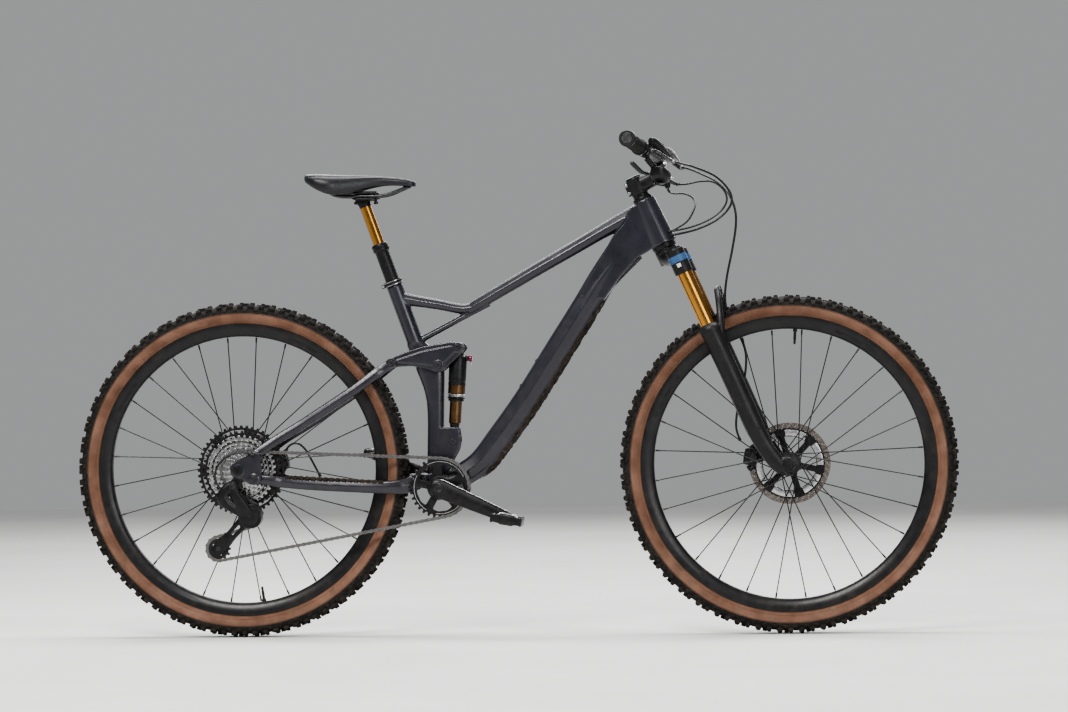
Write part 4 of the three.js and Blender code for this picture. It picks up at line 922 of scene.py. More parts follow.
def tread(centre):
    """Centre, transition and side knobs, repeated round the tyre."""
    knobs = []
    step = TAU / TREAD_REPEATS
    for k in range(TREAD_REPEATS):
        a = k * step
        if k % 2:
            knobs.append(around(centre, a, lump(-9.5, -1.2, 363, 370.4, 9)))
            knobs.append(around(centre, a, lump(1.2, 9.5, 363, 370.4, 9)))
        else:
            knobs.append(around(centre, a, lump(-5, 5, 363, 370.4, 8)))
            knobs += [around(centre, a + step * 0.4, lump(s * 11.4 - 3.2, s * 11.4 + 3.2, 361, 369.0,
                                                          11)) for s in (-1, 1)]
        for side in (-1, 1):
            wide = 14.5 if k % 2 else 12
            shoulder = lump(-4.2, 4.2, 0, 8.6, wide, taper=0.8)
            tilt = Matrix.Translation((0, side * 21.2, 358.2)) @ Matrix.Rotation(-side * math.radians(40),
                                                                                 4, "X")
            knobs.append(around(centre, a + (step * 0.5 if side > 0 else 0), moved(shoulder, tilt)))
            low = lump(-3.4, 3.4, 0, 3.8, 11, taper=0.75)
            tilt = Matrix.Translation((0, side * 26.2, 353)) @ Matrix.Rotation(-side * math.radians(62), 4,
                                                                               "X")
            knobs.append(around(centre, a + step * 0.5, moved(low, tilt)))
    return knobs


def tyre(name, centre, body, node):
    """The carcass with its tan walls, the knobs and two fine ridges on each wall."""
    outside = [(323.5, 13.4), (324.5, 16.6), (327, 19), (333, 24.2), (339, 27.8), (345, 29.3), (350, 28.8),
               (355, 26.2), (359, 22.4), (361.8, 17), (363.6, 10), (364.3, 4)]
    inner = [(361.5, 4), (359, 12), (352, 21), (345, 24.5), (335, 21), (327, 15), (324, 12.6)]
    profile = [(r, y) for r, y in outside] + [(r, -y) for r, y in reversed(outside)]
    profile += [(r, -y) for r, y in inner] + [(r, y) for r, y in reversed(inner)]
    segments = 180
    points, faces = turned(profile, segments, centre)
    side_faces, top_faces = [], []
    for f in faces:
        radius = sum(math.dist((points[i][0], points[i][2]), centre) for i in f) / 4
        (side_faces if radius < 345 else top_faces).append(f)
    piece(name + "_carcass", [(points, side_faces, 0), (points, top_faces, 1)], ["wall", "tread"], body,
          [node], sharp=70)
    piece(name + "_tread", tread(centre), ["tread"], body, bevel=0.45)
    ridges = []
    for side in (-1, 1):
        for r, y in ((330.5, 22.6), (346.4, 29.4)):
            ring = [(r - 0.9, side * (y - 0.6)), (r, side * (y + 0.25)), (r + 0.9, side * (y - 0.6)),
                    (r, side * (y - 1.4))]
            ridges.append(turned(ring if side > 0 else ring[::-1], 160, centre))
    piece(name + "_ridges", ridges, ["wall"], body)


def arc_band(centre, r0, r1, y, start, end, thick=0.25, steps=30, lean=0.0):
    """A thin curved strip on the side of a wheel; lean is how far its outer edge stands out."""
    rows = []
    for k in range(steps + 1):
        a = start + (end - start) * k / steps
        s, c = math.sin(a), math.cos(a)
        ring = [(r0, y), (r1, y + lean), (r1, y + lean + thick), (r0, y + thick)]
        rows.append([(centre[0] + r * s, h, centre[1] + r * c) for r, h in ring])
    return grid(rows)


def rim(name, centre, body, node, valve_angle):
    """A deep carbon hoop with plain marks and a valve."""
    profile = [(295, 0), (295.2, 6), (296.4, 8.6), (301, 11.6), (308, 14.6), (314, 16.1), (320.6, 16.8),
               (323.4, 16.6), (323.6, 15.2), (322.6, 14.4), (318, 13.8), (317, 0)]
    full = profile + [(r, -y) for r, y in reversed(profile[1:-1])]
    piece(name + "_hoop", [turned(full, 160, centre)], ["rim"], body, [node], sharp=40)
    marks = []
    for k in range(4):
        a = k * TAU / 4 + 0.35
        for side in (-1, 1):
            marks.append(arc_band(centre, 303.5, 310.5, side * 12.95 - 0.1, a, a + 0.34, thick=0.2,
                                  lean=side * 2.6))
    piece(name + "_marks", marks, ["satin"], body)
    stem = [(0, 262), (1.6, 262), (2.6, 264), (2.6, 272), (3.1, 272.5), (3.1, 289), (4.6, 290), (4.6, 296),
            (0, 296)]
    upright = Matrix.Translation((centre[0], 0, centre[1])) @ Matrix.Rotation(valve_angle, 4, "Y")
    piece(name + "_valve", [turned_up(stem, upright, 20)], ["black"], body)


def spokes(name, centre, flanges, body):
    """Spokes crossing in pairs, with a nipple at the end of each."""
    bars, nipples = [], []
    for i in range(SPOKE_COUNT):
        left = i % 2
        lean = 1 if i % 4 < 2 else -1
        foot = i / SPOKE_COUNT * TAU + 0.11
        head = foot + lean * 1.25
        start = Vector((math.sin(head) * 22, flanges[left] + lean * 1.3, math.cos(head) * 22))
        end = Vector((math.sin(foot) * 294.2, 4 if left else -4, math.cos(foot) * 294.2))
        place = Matrix.Translation((centre[0], 0, centre[1]))
        start, end = place @ start, place @ end
        along = (end - start).normalized()
        bars.append(rod(start, end, 1.2, 10))
        bars.append(rod(start - along * 1.4 - Vector((0, lean * 0.9, 0)),
                        start - along * 1.4 + Vector((0, lean * 0.9, 0)), 1.7, 10))
        nipples.append(rod(end - along * 11, end - along * 0.2, 1.75, 8, 2.1))
    piece(name + "_spokes", bars, ["black"], body)
    piece(name + "_nipples", nipples, ["black"], body)


def hub(name, centre, profile, flanges, body, node):
    """A turned shell, from a profile of [radius, y] points, and its spokes."""
    bore = profile[0][0] - 1.5
    closed = [(bore, profile[0][1])] + profile + [(bore, profile[-1][1])]
    piece(name + "_shell", [turned(closed, 56, centre)], ["black"], body, [node], sharp=30)
    spokes(name, centre, flanges, body)


def rotor(name, centre, y, radius, bore, body, node):
    """A braking band on bright arms, and a black six-armed carrier fixed to the hub."""
    band = []
    count = 60
    for k in range(count):
        a = k / count * TAU
        wave = radius - 0.4 + 0.35 * math.cos(a * 6)
        band.append((centre[0] + wave * math.cos(a), centre[1] + wave * math.sin(a)))
    holes = []
    for k in range(36):
        a = k / 36 * TAU
        for share, size in ((0.22, 1.9), (0.5, 2.3), (0.78, 1.9)):
            b = a + (share - 0.5) * 0.13
            r = radius - ROTOR_BAND * share
            holes.append(circle((centre[0] + r * math.cos(b), centre[1] + r * math.sin(b)), size * 0.62, 8))
    inner = circle(centre, radius - ROTOR_BAND, 72)
    piece(name + "_band", [plate(band, y - 0.9, y + 0.9, [inner] + holes)], ["brake_band"], body, [node],
          sharp=25)
    fins = []
    fin_out, fin_in = radius - ROTOR_BAND - 0.6, radius - ROTOR_BAND - 16
    for k in range(ROTOR_ARMS):
        middle = k / ROTOR_ARMS * TAU + 0.3
        spread = 0.40
        arc = [(fin_out, middle - spread + 2 * spread * i / 12) for i in range(13)]
        arc += [(fin_in, middle + spread - 2 * spread * i / 12) for i in range(13)]
        outline = [(centre[0] + r * math.cos(t), centre[1] + r * math.sin(t)) for r, t in arc]
        fins.append(plate(rounded(outline, 1.5, 2), y - 2.0, y + 2.0))
    piece(name + "_fins", fins, ["steel"], body, sharp=25, bevel=0.4)
    arms = []
    reach = radius - ROTOR_BAND + 2.0
    windows = []
    for k in range(ROTOR_ARMS):
        a = k / ROTOR_ARMS * TAU + 0.3
        outline = []
        for r, t in ((bore + 10, -0.26), (fin_in + 1, -0.41), (fin_in + 1, 0), (fin_in + 1, 0.41),
                     (bore + 10, 0.26)):
            outline.append((centre[0] + r * math.cos(a + t), centre[1] + r * math.sin(a + t)))
        windows.append(rounded(outline, 3.0, 3))
        arc = [(fin_out - 0.4, a - 0.36 + 0.72 * i / 10) for i in range(11)]
        arc += [(fin_in + 1.6, a + 0.36 - 0.72 * i / 10) for i in range(11)]
        windows.append([(centre[0] + r * math.cos(t), centre[1] + r * math.sin(t)) for r, t in arc])
    rim_line = toothed(48, reach + 1.2, reach - 0.6, centre, 0, 0.8)
    arms.append(plate(rim_line, y - 2.4, y + 2.4, [circle(centre, bore, 32)] + windows))
    for k in range(ROTOR_ARMS):
        a = k / ROTOR_ARMS * TAU + 0.3 + TAU / ROTOR_ARMS / 2
        p = (centre[0] + (reach - 2) * math.cos(a), centre[1] + (reach - 2) * math.sin(a))
        arms.append(cross_bar(p, y - 3.0, y + 3.0, 3.6, 16))
    piece(name + "_carrier", arms, ["black"], body, bevel=0.25)
    lock = turned([(bore, y - 2.2), (bore + 5.5, y - 2.2), (bore + 5.5, y + 2.8), (bore, y + 2.8)], 24,
                  centre)
    piece(name + "_lockring", [lock], ["black"], body, bevel=0.4)


def wheels():
    """Tyres, rims, hubs and brake rotors of both wheels."""
    tyre("front_tyre", FRONT_HUB, "front_wheel", "front_tyre")
    tyre("rear_tyre", REAR_HUB, "rear_wheel", "rear_tyre")
    rim("front_rim", FRONT_HUB, "front_wheel", "front_rim", 0.06)
    rim("rear_rim", REAR_HUB, "rear_wheel", "rear_rim", math.radians(172))
    front = [(9.5, -54.6), (11.5, -52), (12, -36), (15, -34.5), (25.2, -33), (25.8, -32), (25.8, -30.2),
             (25.2, -29), (17, -27.4), (13.4, -22), (12.4, -6), (12.6, 10), (14.4, 18), (19, 22),
             (25.2, 24), (25.8, 25), (25.8, 27.2), (25.2, 28), (16.5, 30), (15.2, 34), (15.2, 42),
             (14.4, 50), (12, 54.6)]
    hub("front_hub", FRONT_HUB, front, [-31, 26], "front_wheel", "front_hub")
    rear = [(8.4, -73.8), (10, -71), (17, -70.6), (17, -28), (21, -27), (27, -26), (27.6, -25), (27.6, -23),
            (27, -22), (18, -19.5), (14.6, -14), (13.6, 0), (14.2, 18), (19, 27), (27, 30), (27.6, 31),
            (27.6, 33), (27, 34), (18, 36.4), (15.4, 40), (15.4, 56), (14.4, 61), (11, 62), (10.5, 73.8)]
    hub("rear_hub", REAR_HUB, rear, [-24, 32], "rear_wheel", "rear_hub")
    rotor("front_rotor", FRONT_HUB, FRONT_ROTOR["y"], FRONT_ROTOR["radius"], 15.6, "front_wheel",
          "front_rotor")
    rotor("rear_rotor", REAR_HUB, REAR_ROTOR["y"], REAR_ROTOR["radius"], 16.1, "rear_wheel", "rear_rotor")


# ------------------------------------------------------------------ cassette, cranks and chain
COG_STEPS = [48, 42, 37, 32, 28, 24, 21, 18, 16, 14, 12, 10]
COG_SPACE = 3.57


def cassette():
    """Twelve cogs of falling size; the bigger ones have windows."""
    silver, dark = [], []
    for i, teeth in enumerate(COG_STEPS):
        y = -28.8 - COG_SPACE * i
        tip, root = pitch_radius(teeth) + 2.2, pitch_radius(teeth) - 3.4
        holes = []
        if teeth >= 24:
            lower = max(24, pitch_radius(COG_STEPS[i + 1]) - 8 if i + 1 < len(COG_STEPS) else 24)
            arms = 7 if teeth > 30 else 6
            for k in range(arms):
                a = (k + 0.12 * i) / arms * TAU
                half = TAU / arms * 0.34
                outline = []
                for r, t in ((lower, -half), (root - 4.5, -half * 0.95), (root - 3.6, 0),
                             (root - 4.5, half * 0.95), (lower, half)):
                    outline.append((REAR_HUB[0] + r * math.cos(a + t), REAR_HUB[1] + r * math.sin(a + t)))
                holes.append(rounded(outline, 2.5, 2))
        outline = toothed(teeth, tip, root, REAR_HUB, 0.05 * i)
        bore = circle(REAR_HUB, 17.4, 24)
        target = dark if teeth >= 40 else silver
        if teeth >= 24 and min(math.dist(p, REAR_HUB) for hole in holes for p in hole) < 19:
            holes = []
        target.append(plate(outline, y - 0.9, y + 0.9, [bore] + holes))
    spacers = [turned([(17.4, -68.5), (19.4, -68.5), (19.4, -28.2), (17.4, -28.2)], 40, REAR_HUB)]
    for radius in (62, 50):
        spacers.append(turned([(radius, -40.5), (radius + 2.6, -40.5), (radius + 2.6, -30), (radius, -30)],
                              56, REAR_HUB))
    piece("cogs", silver, ["cog_steel"], "cassette", ["cassette"], bevel=0.18)
    piece("large_cogs", dark, ["black"], "cassette", bevel=0.18)
    piece("cog_carriers", spacers, ["dark_steel"], "cassette", bevel=0.3)
    ring = [(12.5, -70.2), (15.8, -70.2), (16.8, -69.4), (16.8, -68.4), (12.5, -68.4)]
    piece("cassette_lockring", [turned(ring, 40, REAR_HUB)], ["black"], "cassette")


def crank_turn(shape, left=False):
    """From the crank's own frame, arm along +X, to its place on the bike."""
    turn = Matrix.Translation((BOTTOM_BRACKET[0], 0, BOTTOM_BRACKET[1])) @ Matrix.Rotation(CRANK_DROOP, 4,
                                                                                           "Y")
    if left:
        turn = turn @ Matrix.Rotation(math.pi, 4, "Y")
    return moved(shape, turn)


def chainring():
    """The ring with its windows, bright printed arcs, spider and bolts."""
    radius = pitch_radius(RING_TEETH)
    windows = []
    for k in range(5):
        a = k / 5 * TAU + 0.2
        outline = [(r * math.cos(a + t), r * math.sin(a + t)) for r, t in
                   ((27, -0.32), (50, -0.45), (52.4, -0.2), (52.4, 0.2), (50, 0.45), (27, 0.32))]
        windows.append(rounded(outline, 4, 4))
    body = plate(toothed(RING_TEETH, radius + 2.4, radius - 4.0), CHAIN_Y - 1.5, CHAIN_Y + 1.5,
                 [circle((0, 0), 17.3, 32)] + windows)
    piece("chainring_plate", [crank_turn(body)], ["black"], "crank", ["chainring"], bevel=0.35)
    lines = []
    for start, end in ((-0.9, 0.75), (1.3, 2.9), (3.3, 4.8)):
        lines.append(crank_turn(arc_band((0, 0), radius - 8.2, radius - 6.9, CHAIN_Y - 1.72, start, end,
                                         thick=0.2)))
    piece("chainring_lines", lines, ["steel"], "crank")
    shield = turned([(17.4, -66), (24.5, -66), (27, -62), (27.5, CHAIN_Y - 1.6), (17.4, CHAIN_Y - 1.6)], 48)
    bolts = []
    for k in range(8):
        a = k / 8 * TAU
        bolts += bolt((22.6 * math.cos(a), 22.6 * math.sin(a)), -65.6, -1, 2.2, 1.1, 1.2)
    piece("chainring_spider", [crank_turn(shield)], ["black"], "crank", bevel=0.4)
    piece("chainring_bolts", [crank_turn(b) for b in bolts], ["dark_steel"], "crank")


CRANK_ARM = [(-19.5, 72.5, 5, 6), (-16, 73, 8, 13.5), (-8, 73.5, 8.6, 19.8), (4, 73.5, 8.6, 21.8),
             (18, 74, 8.4, 21.6), (32, 75, 8, 20.6), (90, 77.5, 7.6, 18), (150, 79.2, 7.4, 14.6),
             (168, 79.4, 7.4, 13), (178, 79.2, 6.8, 10.2), (182.4, 79, 4, 5),]


def crank_arm(side):
    """One arm; the right one also holds the spindle and has a bright steel strip along its upper edge, a
    painted highlight.
    """
    rows = []
    for x, y, half, height in smooth(CRANK_ARM, 7):
        section = [(-0.6, 1), (0.45, 0.96), (0.8, 0.62), (1.0, 0.2), (1.0, -0.2), (0.8, -0.62),
                   (0.45, -0.96), (-0.6, -1), (-0.95, -0.8), (-1, -0.4), (-1, 0.4), (-0.95, 0.8)]
        rows.append([(x, side * (y + a * half), b * height) for a, b in section])
    name = "crank_arm_right" if side < 0 else "crank_arm_left"
    left = side > 0
    piece(name + "_forging", [crank_turn(grid(rows), left)], ["black"], "crank", [name], subdivide=1,
          sharp=60)
    fittings = []
    if side < 0:
        # a bright steel strip along the arm's upper edge: a painted highlight of the light on that edge
        middle = smooth(CRANK_ARM, 4)[10:-9]
        path = [(x, side * (y + half * 0.52), 0.9 * height + 0.2) for x, y, half, height in middle]
        piece(name + "_painted_edge_highlight", [crank_turn(hose(path, 0.8, 2, 8), left)], ["steel"], "crank")
        fittings.append(cross_bar((0, 0), -66, 66, 11.9, 32))
        fittings.append(cross_bar((0, 0), -67.5, CHAIN_Y + 2.3, 16.8, 36))
    cap = turned([(0, side * 80.8), (9.6, side * 80.8), (10.4, side * 82), (9.4, side * 82.9),
                  (6.4, side * 83.1), (5.4, side * 82.2), (0, side * 82.2)][::-side], 32)
    fittings.append(cap)
    piece(name + "_fittings", [crank_turn(f, left) for f in fittings], ["dark_steel"], "crank", bevel=0.2)


def pedal(name, centre, side, body, node):
    """A two-sided clip-in pedal in a trail cage, tilted with the rider's foot."""
    turn = Matrix.Translation((centre[0], 0, centre[1])) @ Matrix.Rotation(PEDAL_TILT, 4, "Y")
    s = side

    def placed(shape):
        return moved(shape, turn)

    cage = []
    for ends in ((-34.6, -27.5), (27.5, 34.6)):
        cage.append(block(ends, sorted((s * 98, s * 159.5)), (-8.4, 8.4)))
    for y in (s * 100.2, s * 156.5):
        profile = [(-31, -8), (-12, -9.4), (12, -9.4), (31, -8), (31, 8), (12, 9.4), (-12, 9.4), (-31, 8)]
        cage.append(plate(rounded(profile, 3, 3), *sorted((y - 2.4, y + 2.4))))
    piece(name + "_cage", [placed(c) for c in cage], ["black"], body, [node], bevel=1.4)
    core = [cross_bar((0, 0), *sorted((s * 92, s * 158)), 9.6, 28)]
    core.append(plate(rounded([(-15, -12), (15, -12), (20, 0), (15, 12), (-15, 12), (-20, 0)], 3),
                      *sorted((s * 107, s * 149))))
    piece(name + "_core", [placed(c) for c in core], ["dark_steel"], body, bevel=0.6)
    metal = [cross_bar((0, 0), *sorted((s * 76, s * 93)), 4.4, 20),
             cross_bar((0, 0), *sorted((s * 87.4, s * 92)), 7.6, 6)]
    for up in (-1, 1):
        hook = [(-24, 3), (-23.5, 8), (-17, 12.6), (-9, 12.8), (-9, 10.4), (-15, 9.6), (-18.5, 6), (-18.5, 3)]
        jaw = [(9, 10), (9, 12.6), (16, 12.6), (22.6, 8.4), (24, 3), (19, 3), (17.5, 7.4), (14, 10)]
        for outline in (hook, jaw):
            points = [(x * up, z * up) for x, z in outline]
            metal.append(plate(points, *sorted((s * 113, s * 144))))
        metal.append(cross_bar((16.5 * up, 5 * up), *sorted((s * 118, s * 139)), 4.2, 18))
    piece(name + "_mechanism", [placed(m) for m in metal], ["steel"], body, bevel=0.5)
    pins = []
    for x in (-31.6, 31.6):
        for y in (104, 128, 153):
            pins.append(rod((x, s * y, -10.2), (x, s * y, 10.2), 1.8, 10))
    piece(name + "_pins", [placed(p) for p in pins], ["dark_steel"], body)


CHAIN_SPLIT = -400
# centre, teeth and the way the chain turns round each wheel, in the order it meets them
CHAIN_WHEELS = [
    (BOTTOM_BRACKET, RING_TEETH, -1), (TENSION_PULLEY, PULLEY_TEETH, -1), (GUIDE_PULLEY, PULLEY_TEETH, 1),
    (REAR_HUB, COG_TEETH, -1),
]


def run_heading(start, end):
    """Heading of the straight run of chain from one wheel to the next."""
    dx, dz = end[0][0] - start[0][0], end[0][1] - start[0][1]
    lead = (start[2] * pitch_radius(start[1]) - end[2] * pitch_radius(end[1])) / math.hypot(dx, dz)
    return math.atan2(dz, dx) + math.asin(lead)


def chain_line():
    """The closed pitch line of the chain round its four wheels."""
    points = []
    for i, wheel in enumerate(CHAIN_WHEELS):
        centre, teeth, turn = wheel
        start = run_heading(CHAIN_WHEELS[i - 1], wheel)
        sweep = run_heading(wheel, CHAIN_WHEELS[(i + 1) % 4]) - start
        while sweep * turn < 0:
            sweep += turn * TAU
        while sweep * turn > TAU:
            sweep -= turn * TAU
        radius = pitch_radius(teeth)
        for k in range(41):
            heading = start + sweep * k / 40
            points.append((centre[0] + turn * radius * math.sin(heading),
                           centre[1] - turn * radius * math.cos(heading)))
    return points


def evenly(points, count):
    """Points at equal distances along a closed line."""
    closed = points + points[:1]
    lengths = [math.dist(a, b) for a, b in zip(closed, closed[1:])]
    step = sum(lengths) / count
    out, walked, i = [], 0.0, 0
    for k in range(count):
        target = k * step
        while walked + lengths[i] < target:
            walked += lengths[i]
            i += 1
        t = (target - walked) / lengths[i]
        a, b = closed[i], closed[i + 1]
        out.append((a[0] + (b[0] - a[0]) * t, a[1] + (b[1] - a[1]) * t))
    return out


def link_plates(a, b, inner):
    """The two side plates of one link, waisted between its pins."""
    length = math.dist(a, b)
    along = ((b[0] - a[0]) / length, (b[1] - a[1]) / length)
    half = []
    for k in range(7):
        t = math.pi / 2 + k / 6 * math.pi
        half.append((4.1 * math.cos(t), 4.1 * math.sin(t)))
    other = [(length - x, -z) for x, z in half]
    outline = half + [(length / 2, -2.9)] + other + [(length / 2, 2.9)]
    points = [(a[0] + x * along[0] - z * along[1], a[1] + x * along[1] + z * along[0]) for x, z in outline]
    near, far = (1.25, 1.95) if inner else (2.0, 2.75)
    return [plate(points, CHAIN_Y + near, CHAIN_Y + far), plate(points, CHAIN_Y - far, CHAIN_Y - near)]


def chain():
    """The chain's links, split into a front run and a rear run."""
    line = chain_line()
    total = sum(math.dist(a, b) for a, b in zip(line, line[1:] + line[:1]))
    count = 2 * round(total / PITCH / 2)
    pins = evenly(line, count)
    front, rear = [], []
    for i, a in enumerate(pins):
        b = pins[(i + 1) % count]
        shapes = link_plates(a, b, i % 2 == 0)
        shapes.append(cross_bar(a, CHAIN_Y - 3.0, CHAIN_Y + 3.0, 1.8, 12, soften=0.2))
        shapes.append(cross_bar(a, CHAIN_Y - 1.2, CHAIN_Y + 1.2, 3.8, 14, soften=0.2))
        (front if (a[0] + b[0]) / 2 > CHAIN_SPLIT else rear).extend(shapes)
    ahead = piece("chain_front_run", front, ["chain"], None, ["chain"], sharp=40)
    behind = piece("chain_rear_run", rear, ["chain"], None, sharp=40)
    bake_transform(ahead)
    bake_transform(behind)


def derailleur():
    """The two pulleys in their cage, and the body that hangs it from the dropout."""
    for name, centre, body in (("guide_pulley", GUIDE_PULLEY, "guide_pulley"),
                               ("tension_pulley", TENSION_PULLEY, "tension_pulley")):
        radius = pitch_radius(PULLEY_TEETH)
        holes = [circle((centre[0] + 12.5 * math.cos(k / 5 * TAU),
                         centre[1] + 12.5 * math.sin(k / 5 * TAU)), 3.2, 12) for k in range(5)]
        wheel = plate(toothed(PULLEY_TEETH, radius + 1.0, radius - 4.2, centre), CHAIN_Y - 1.2, CHAIN_Y + 1.2,
                      [circle(centre, 3.4, 20)] + holes)
        piece(name + "_wheel", [wheel], ["plastic"], body, [name], bevel=0.25)
    outer, inner = [], []
    angle = math.atan2(TENSION_PULLEY[1] - GUIDE_PULLEY[1], TENSION_PULLEY[0] - GUIDE_PULLEY[0])
    across = (-math.sin(angle), math.cos(angle))

    def along(share, side):
        x = GUIDE_PULLEY[0] + (TENSION_PULLEY[0] - GUIDE_PULLEY[0]) * share + across[0] * side
        z = GUIDE_PULLEY[1] + (TENSION_PULLEY[1] - GUIDE_PULLEY[1]) * share + across[1] * side
        return (x, z)

    outline = [along(-0.12, 5), along(0.0, 13), along(0.25, 12), along(0.6, 11.5), along(0.9, 15),
               along(1.12, 12), along(1.17, 0), along(1.12, -12), along(0.9, -15), along(0.6, -11),
               along(0.25, -13), along(0.0, -13), along(-0.12, -5)]
    slot = [along(0.34, 3.4), along(0.56, 3.0), along(0.60, 0), along(0.56, -3.4), along(0.34, -4),
            along(0.30, 0)]
    for low, high, shapes in ((-57.3, -55.3, outer), (-44.9, -43.1, inner)):
        shapes.append(plate(rounded(outline, 5), low, high, [rounded(slot, 3)]))
    piece("derailleur_cage_plates", outer + inner, ["black"], "seatstay", ["derailleur_cage"], bevel=0.4)
    pins = []
    for centre in (GUIDE_PULLEY, TENSION_PULLEY):
        pins.append(cross_bar(centre, -57.2, -43.2, 2.9, 16))
        pins += bolt(centre, -57.2, -1, 5.2, 1.2, 2.2)
    piece("pulley_bolts", pins, ["dark_steel"], "seatstay")
    mount = [cross_bar((-613, 337), -96.5, -82.6, 10.6, 36, soften=1.2)]
    arm = tube([(-615, -90, 338, 6, 10, 0.8), (-608, -91, 318, 7.5, 11.5, 0.75), (-598, -88, 300, 9, 13, 0.7),
                (-586, -82, 281, 10, 13.5, 0.7), (-578, -76, 270, 9, 12, 0.8)], 28, 5)
    knuckle = plate(rounded([(-604, 282), (-592, 297), (-566, 297), (-553, 284), (-552, 258), (-563, 245),
                             (-586, 243), (-602, 256)], 9, 5), -84.5, -59)
    upper = tube([(-614, -90, 340, 7, 10, 0.8), (-630, -91, 327, 8, 12, 0.75),
                  (-636, -91, 310, 8.5, 13, 0.75), (-622, -89, 296, 8, 12, 0.75),
                  (-602, -85, 284, 8, 12, 0.75), (-588, -78, 274, 9, 12, 0.8)], 28, 5)
    piece("derailleur_links", mount + [arm, upper, knuckle], ["black"], "seatstay", ["derailleur_body"],
          voxel=0.9, relax=2, sharp=60)
    shiny = bolt((-613, 337), -96.6, -1, 7, 2.2, 3)
    shiny += bolt((-578, 271), -86.9, -1, 3.4, 1.0, 1.6)
    shiny.append(tube([(-630, -99.5, 318, 1.1, 3.4, 0.8), (-622, -98, 304, 1.1, 4.6, 0.8),
                       (-606, -93.6, 290, 1.1, 4, 0.8)], 14, 4))
    piece("derailleur_trim", shiny, ["dark_steel"], "seatstay", bevel=0.2)
    side_plate = rounded([(-596, 281), (-588, 290), (-568, 290), (-559, 281), (-558, 260), (-568, 251),
                          (-585, 250), (-596, 259)], 7)
    piece("derailleur_clutch_cover", [plate(side_plate, -86.8, -84.3)], ["satin"], "seatstay", bevel=0.5)


# ------------------------------------------------------------------ fork
def fork_top():
    """The crown with its caps and bands, the steerer and the two stanchions."""
    f, side = STANCHION["forward"], STANCHION["side"]
    path = [(20, -66, -150, 14, 18.5, 0.75), (17, -56, -149, 14, 19.5, 0.75), (10, -38, -145, 14.4, 20, 0.75),
            (3, -20, -141, 15, 21.6, 0.8), (1, 0, -140, 15, 22.4, 0.8), (3, 20, -141, 15, 21.6, 0.8),
            (10, 38, -145, 14.4, 20, 0.75), (17, 56, -149, 14, 19.5, 0.75), (20, 66, -150, 14, 18.5, 0.75)]
    shapes = [tube(path, 32, 6, (0, 0, 1)), rod((0, 0, -150), (0, 0, -120), 24, 40, 25.4)]
    for y in (-side, side):
        shapes.append(rod((f, y, -185.5), (f, y, -129), 20.8, 44, 20.2, soften=1.5))
    piece("crown_forging", [moved(s, STEERING) for s in shapes], ["fork"], "steering", ["fork_crown"],
          voxel=1.3, relax=4, sharp=60)
    race = turned_up([(14, -120), (25, -120), (25.2, -118.4), (24.8, -117.2), (14, -117.2)], STEERING, 44)
    piece("crown_race", [race], ["black"], "steering")
    piece("steerer", [rod(STEERING @ Vector((0, 0, -117)), STEERING @ Vector((0, 0, 50.5)), 14.2, 36)],
          ["dark_steel"], "steering")
    caps = []
    for y in (-side, side):
        caps.append(turned_up([(0, -129.4), (15.4, -129.4), (15.9, -128.4), (15.4, -126), (12.6, -125.2),
                               (7, -125.2), (6, -126.4), (0, -126.4)],
                              STEERING @ Matrix.Translation((f, y, 0)), 36))
    piece("crown_caps", caps, ["black"], "steering")
    bands = []
    for y in (-side, side):
        place = STEERING @ Matrix.Translation((f, y, 0))
        bands.append(turned_up([(20.5, -159), (21.35, -159), (21.15, -144), (20.3, -144)], place, 48))
    piece("crown_bands", bands, ["label"], "steering")
    patch = tube([(f - 3, -side - 21.3, -170, 4.5, 0.5, 0.6), (f - 3, -side - 21.2, -162, 4.5, 0.5, 0.6)],
                 16, 3, (1, 0, 0))
    piece("crown_patch", [moved(patch, STEERING)], ["white"], "steering")
    for y in (-side, side):
        top, low = STEERING @ Vector((f, y, -140)), STEERING @ Vector((f, y, -355))
        name = "stanchion_right" if y < 0 else "stanchion_left"
        piece(name + "_tube", [rod(low, top, 16.95, 64)], ["gold"], "steering", [name])


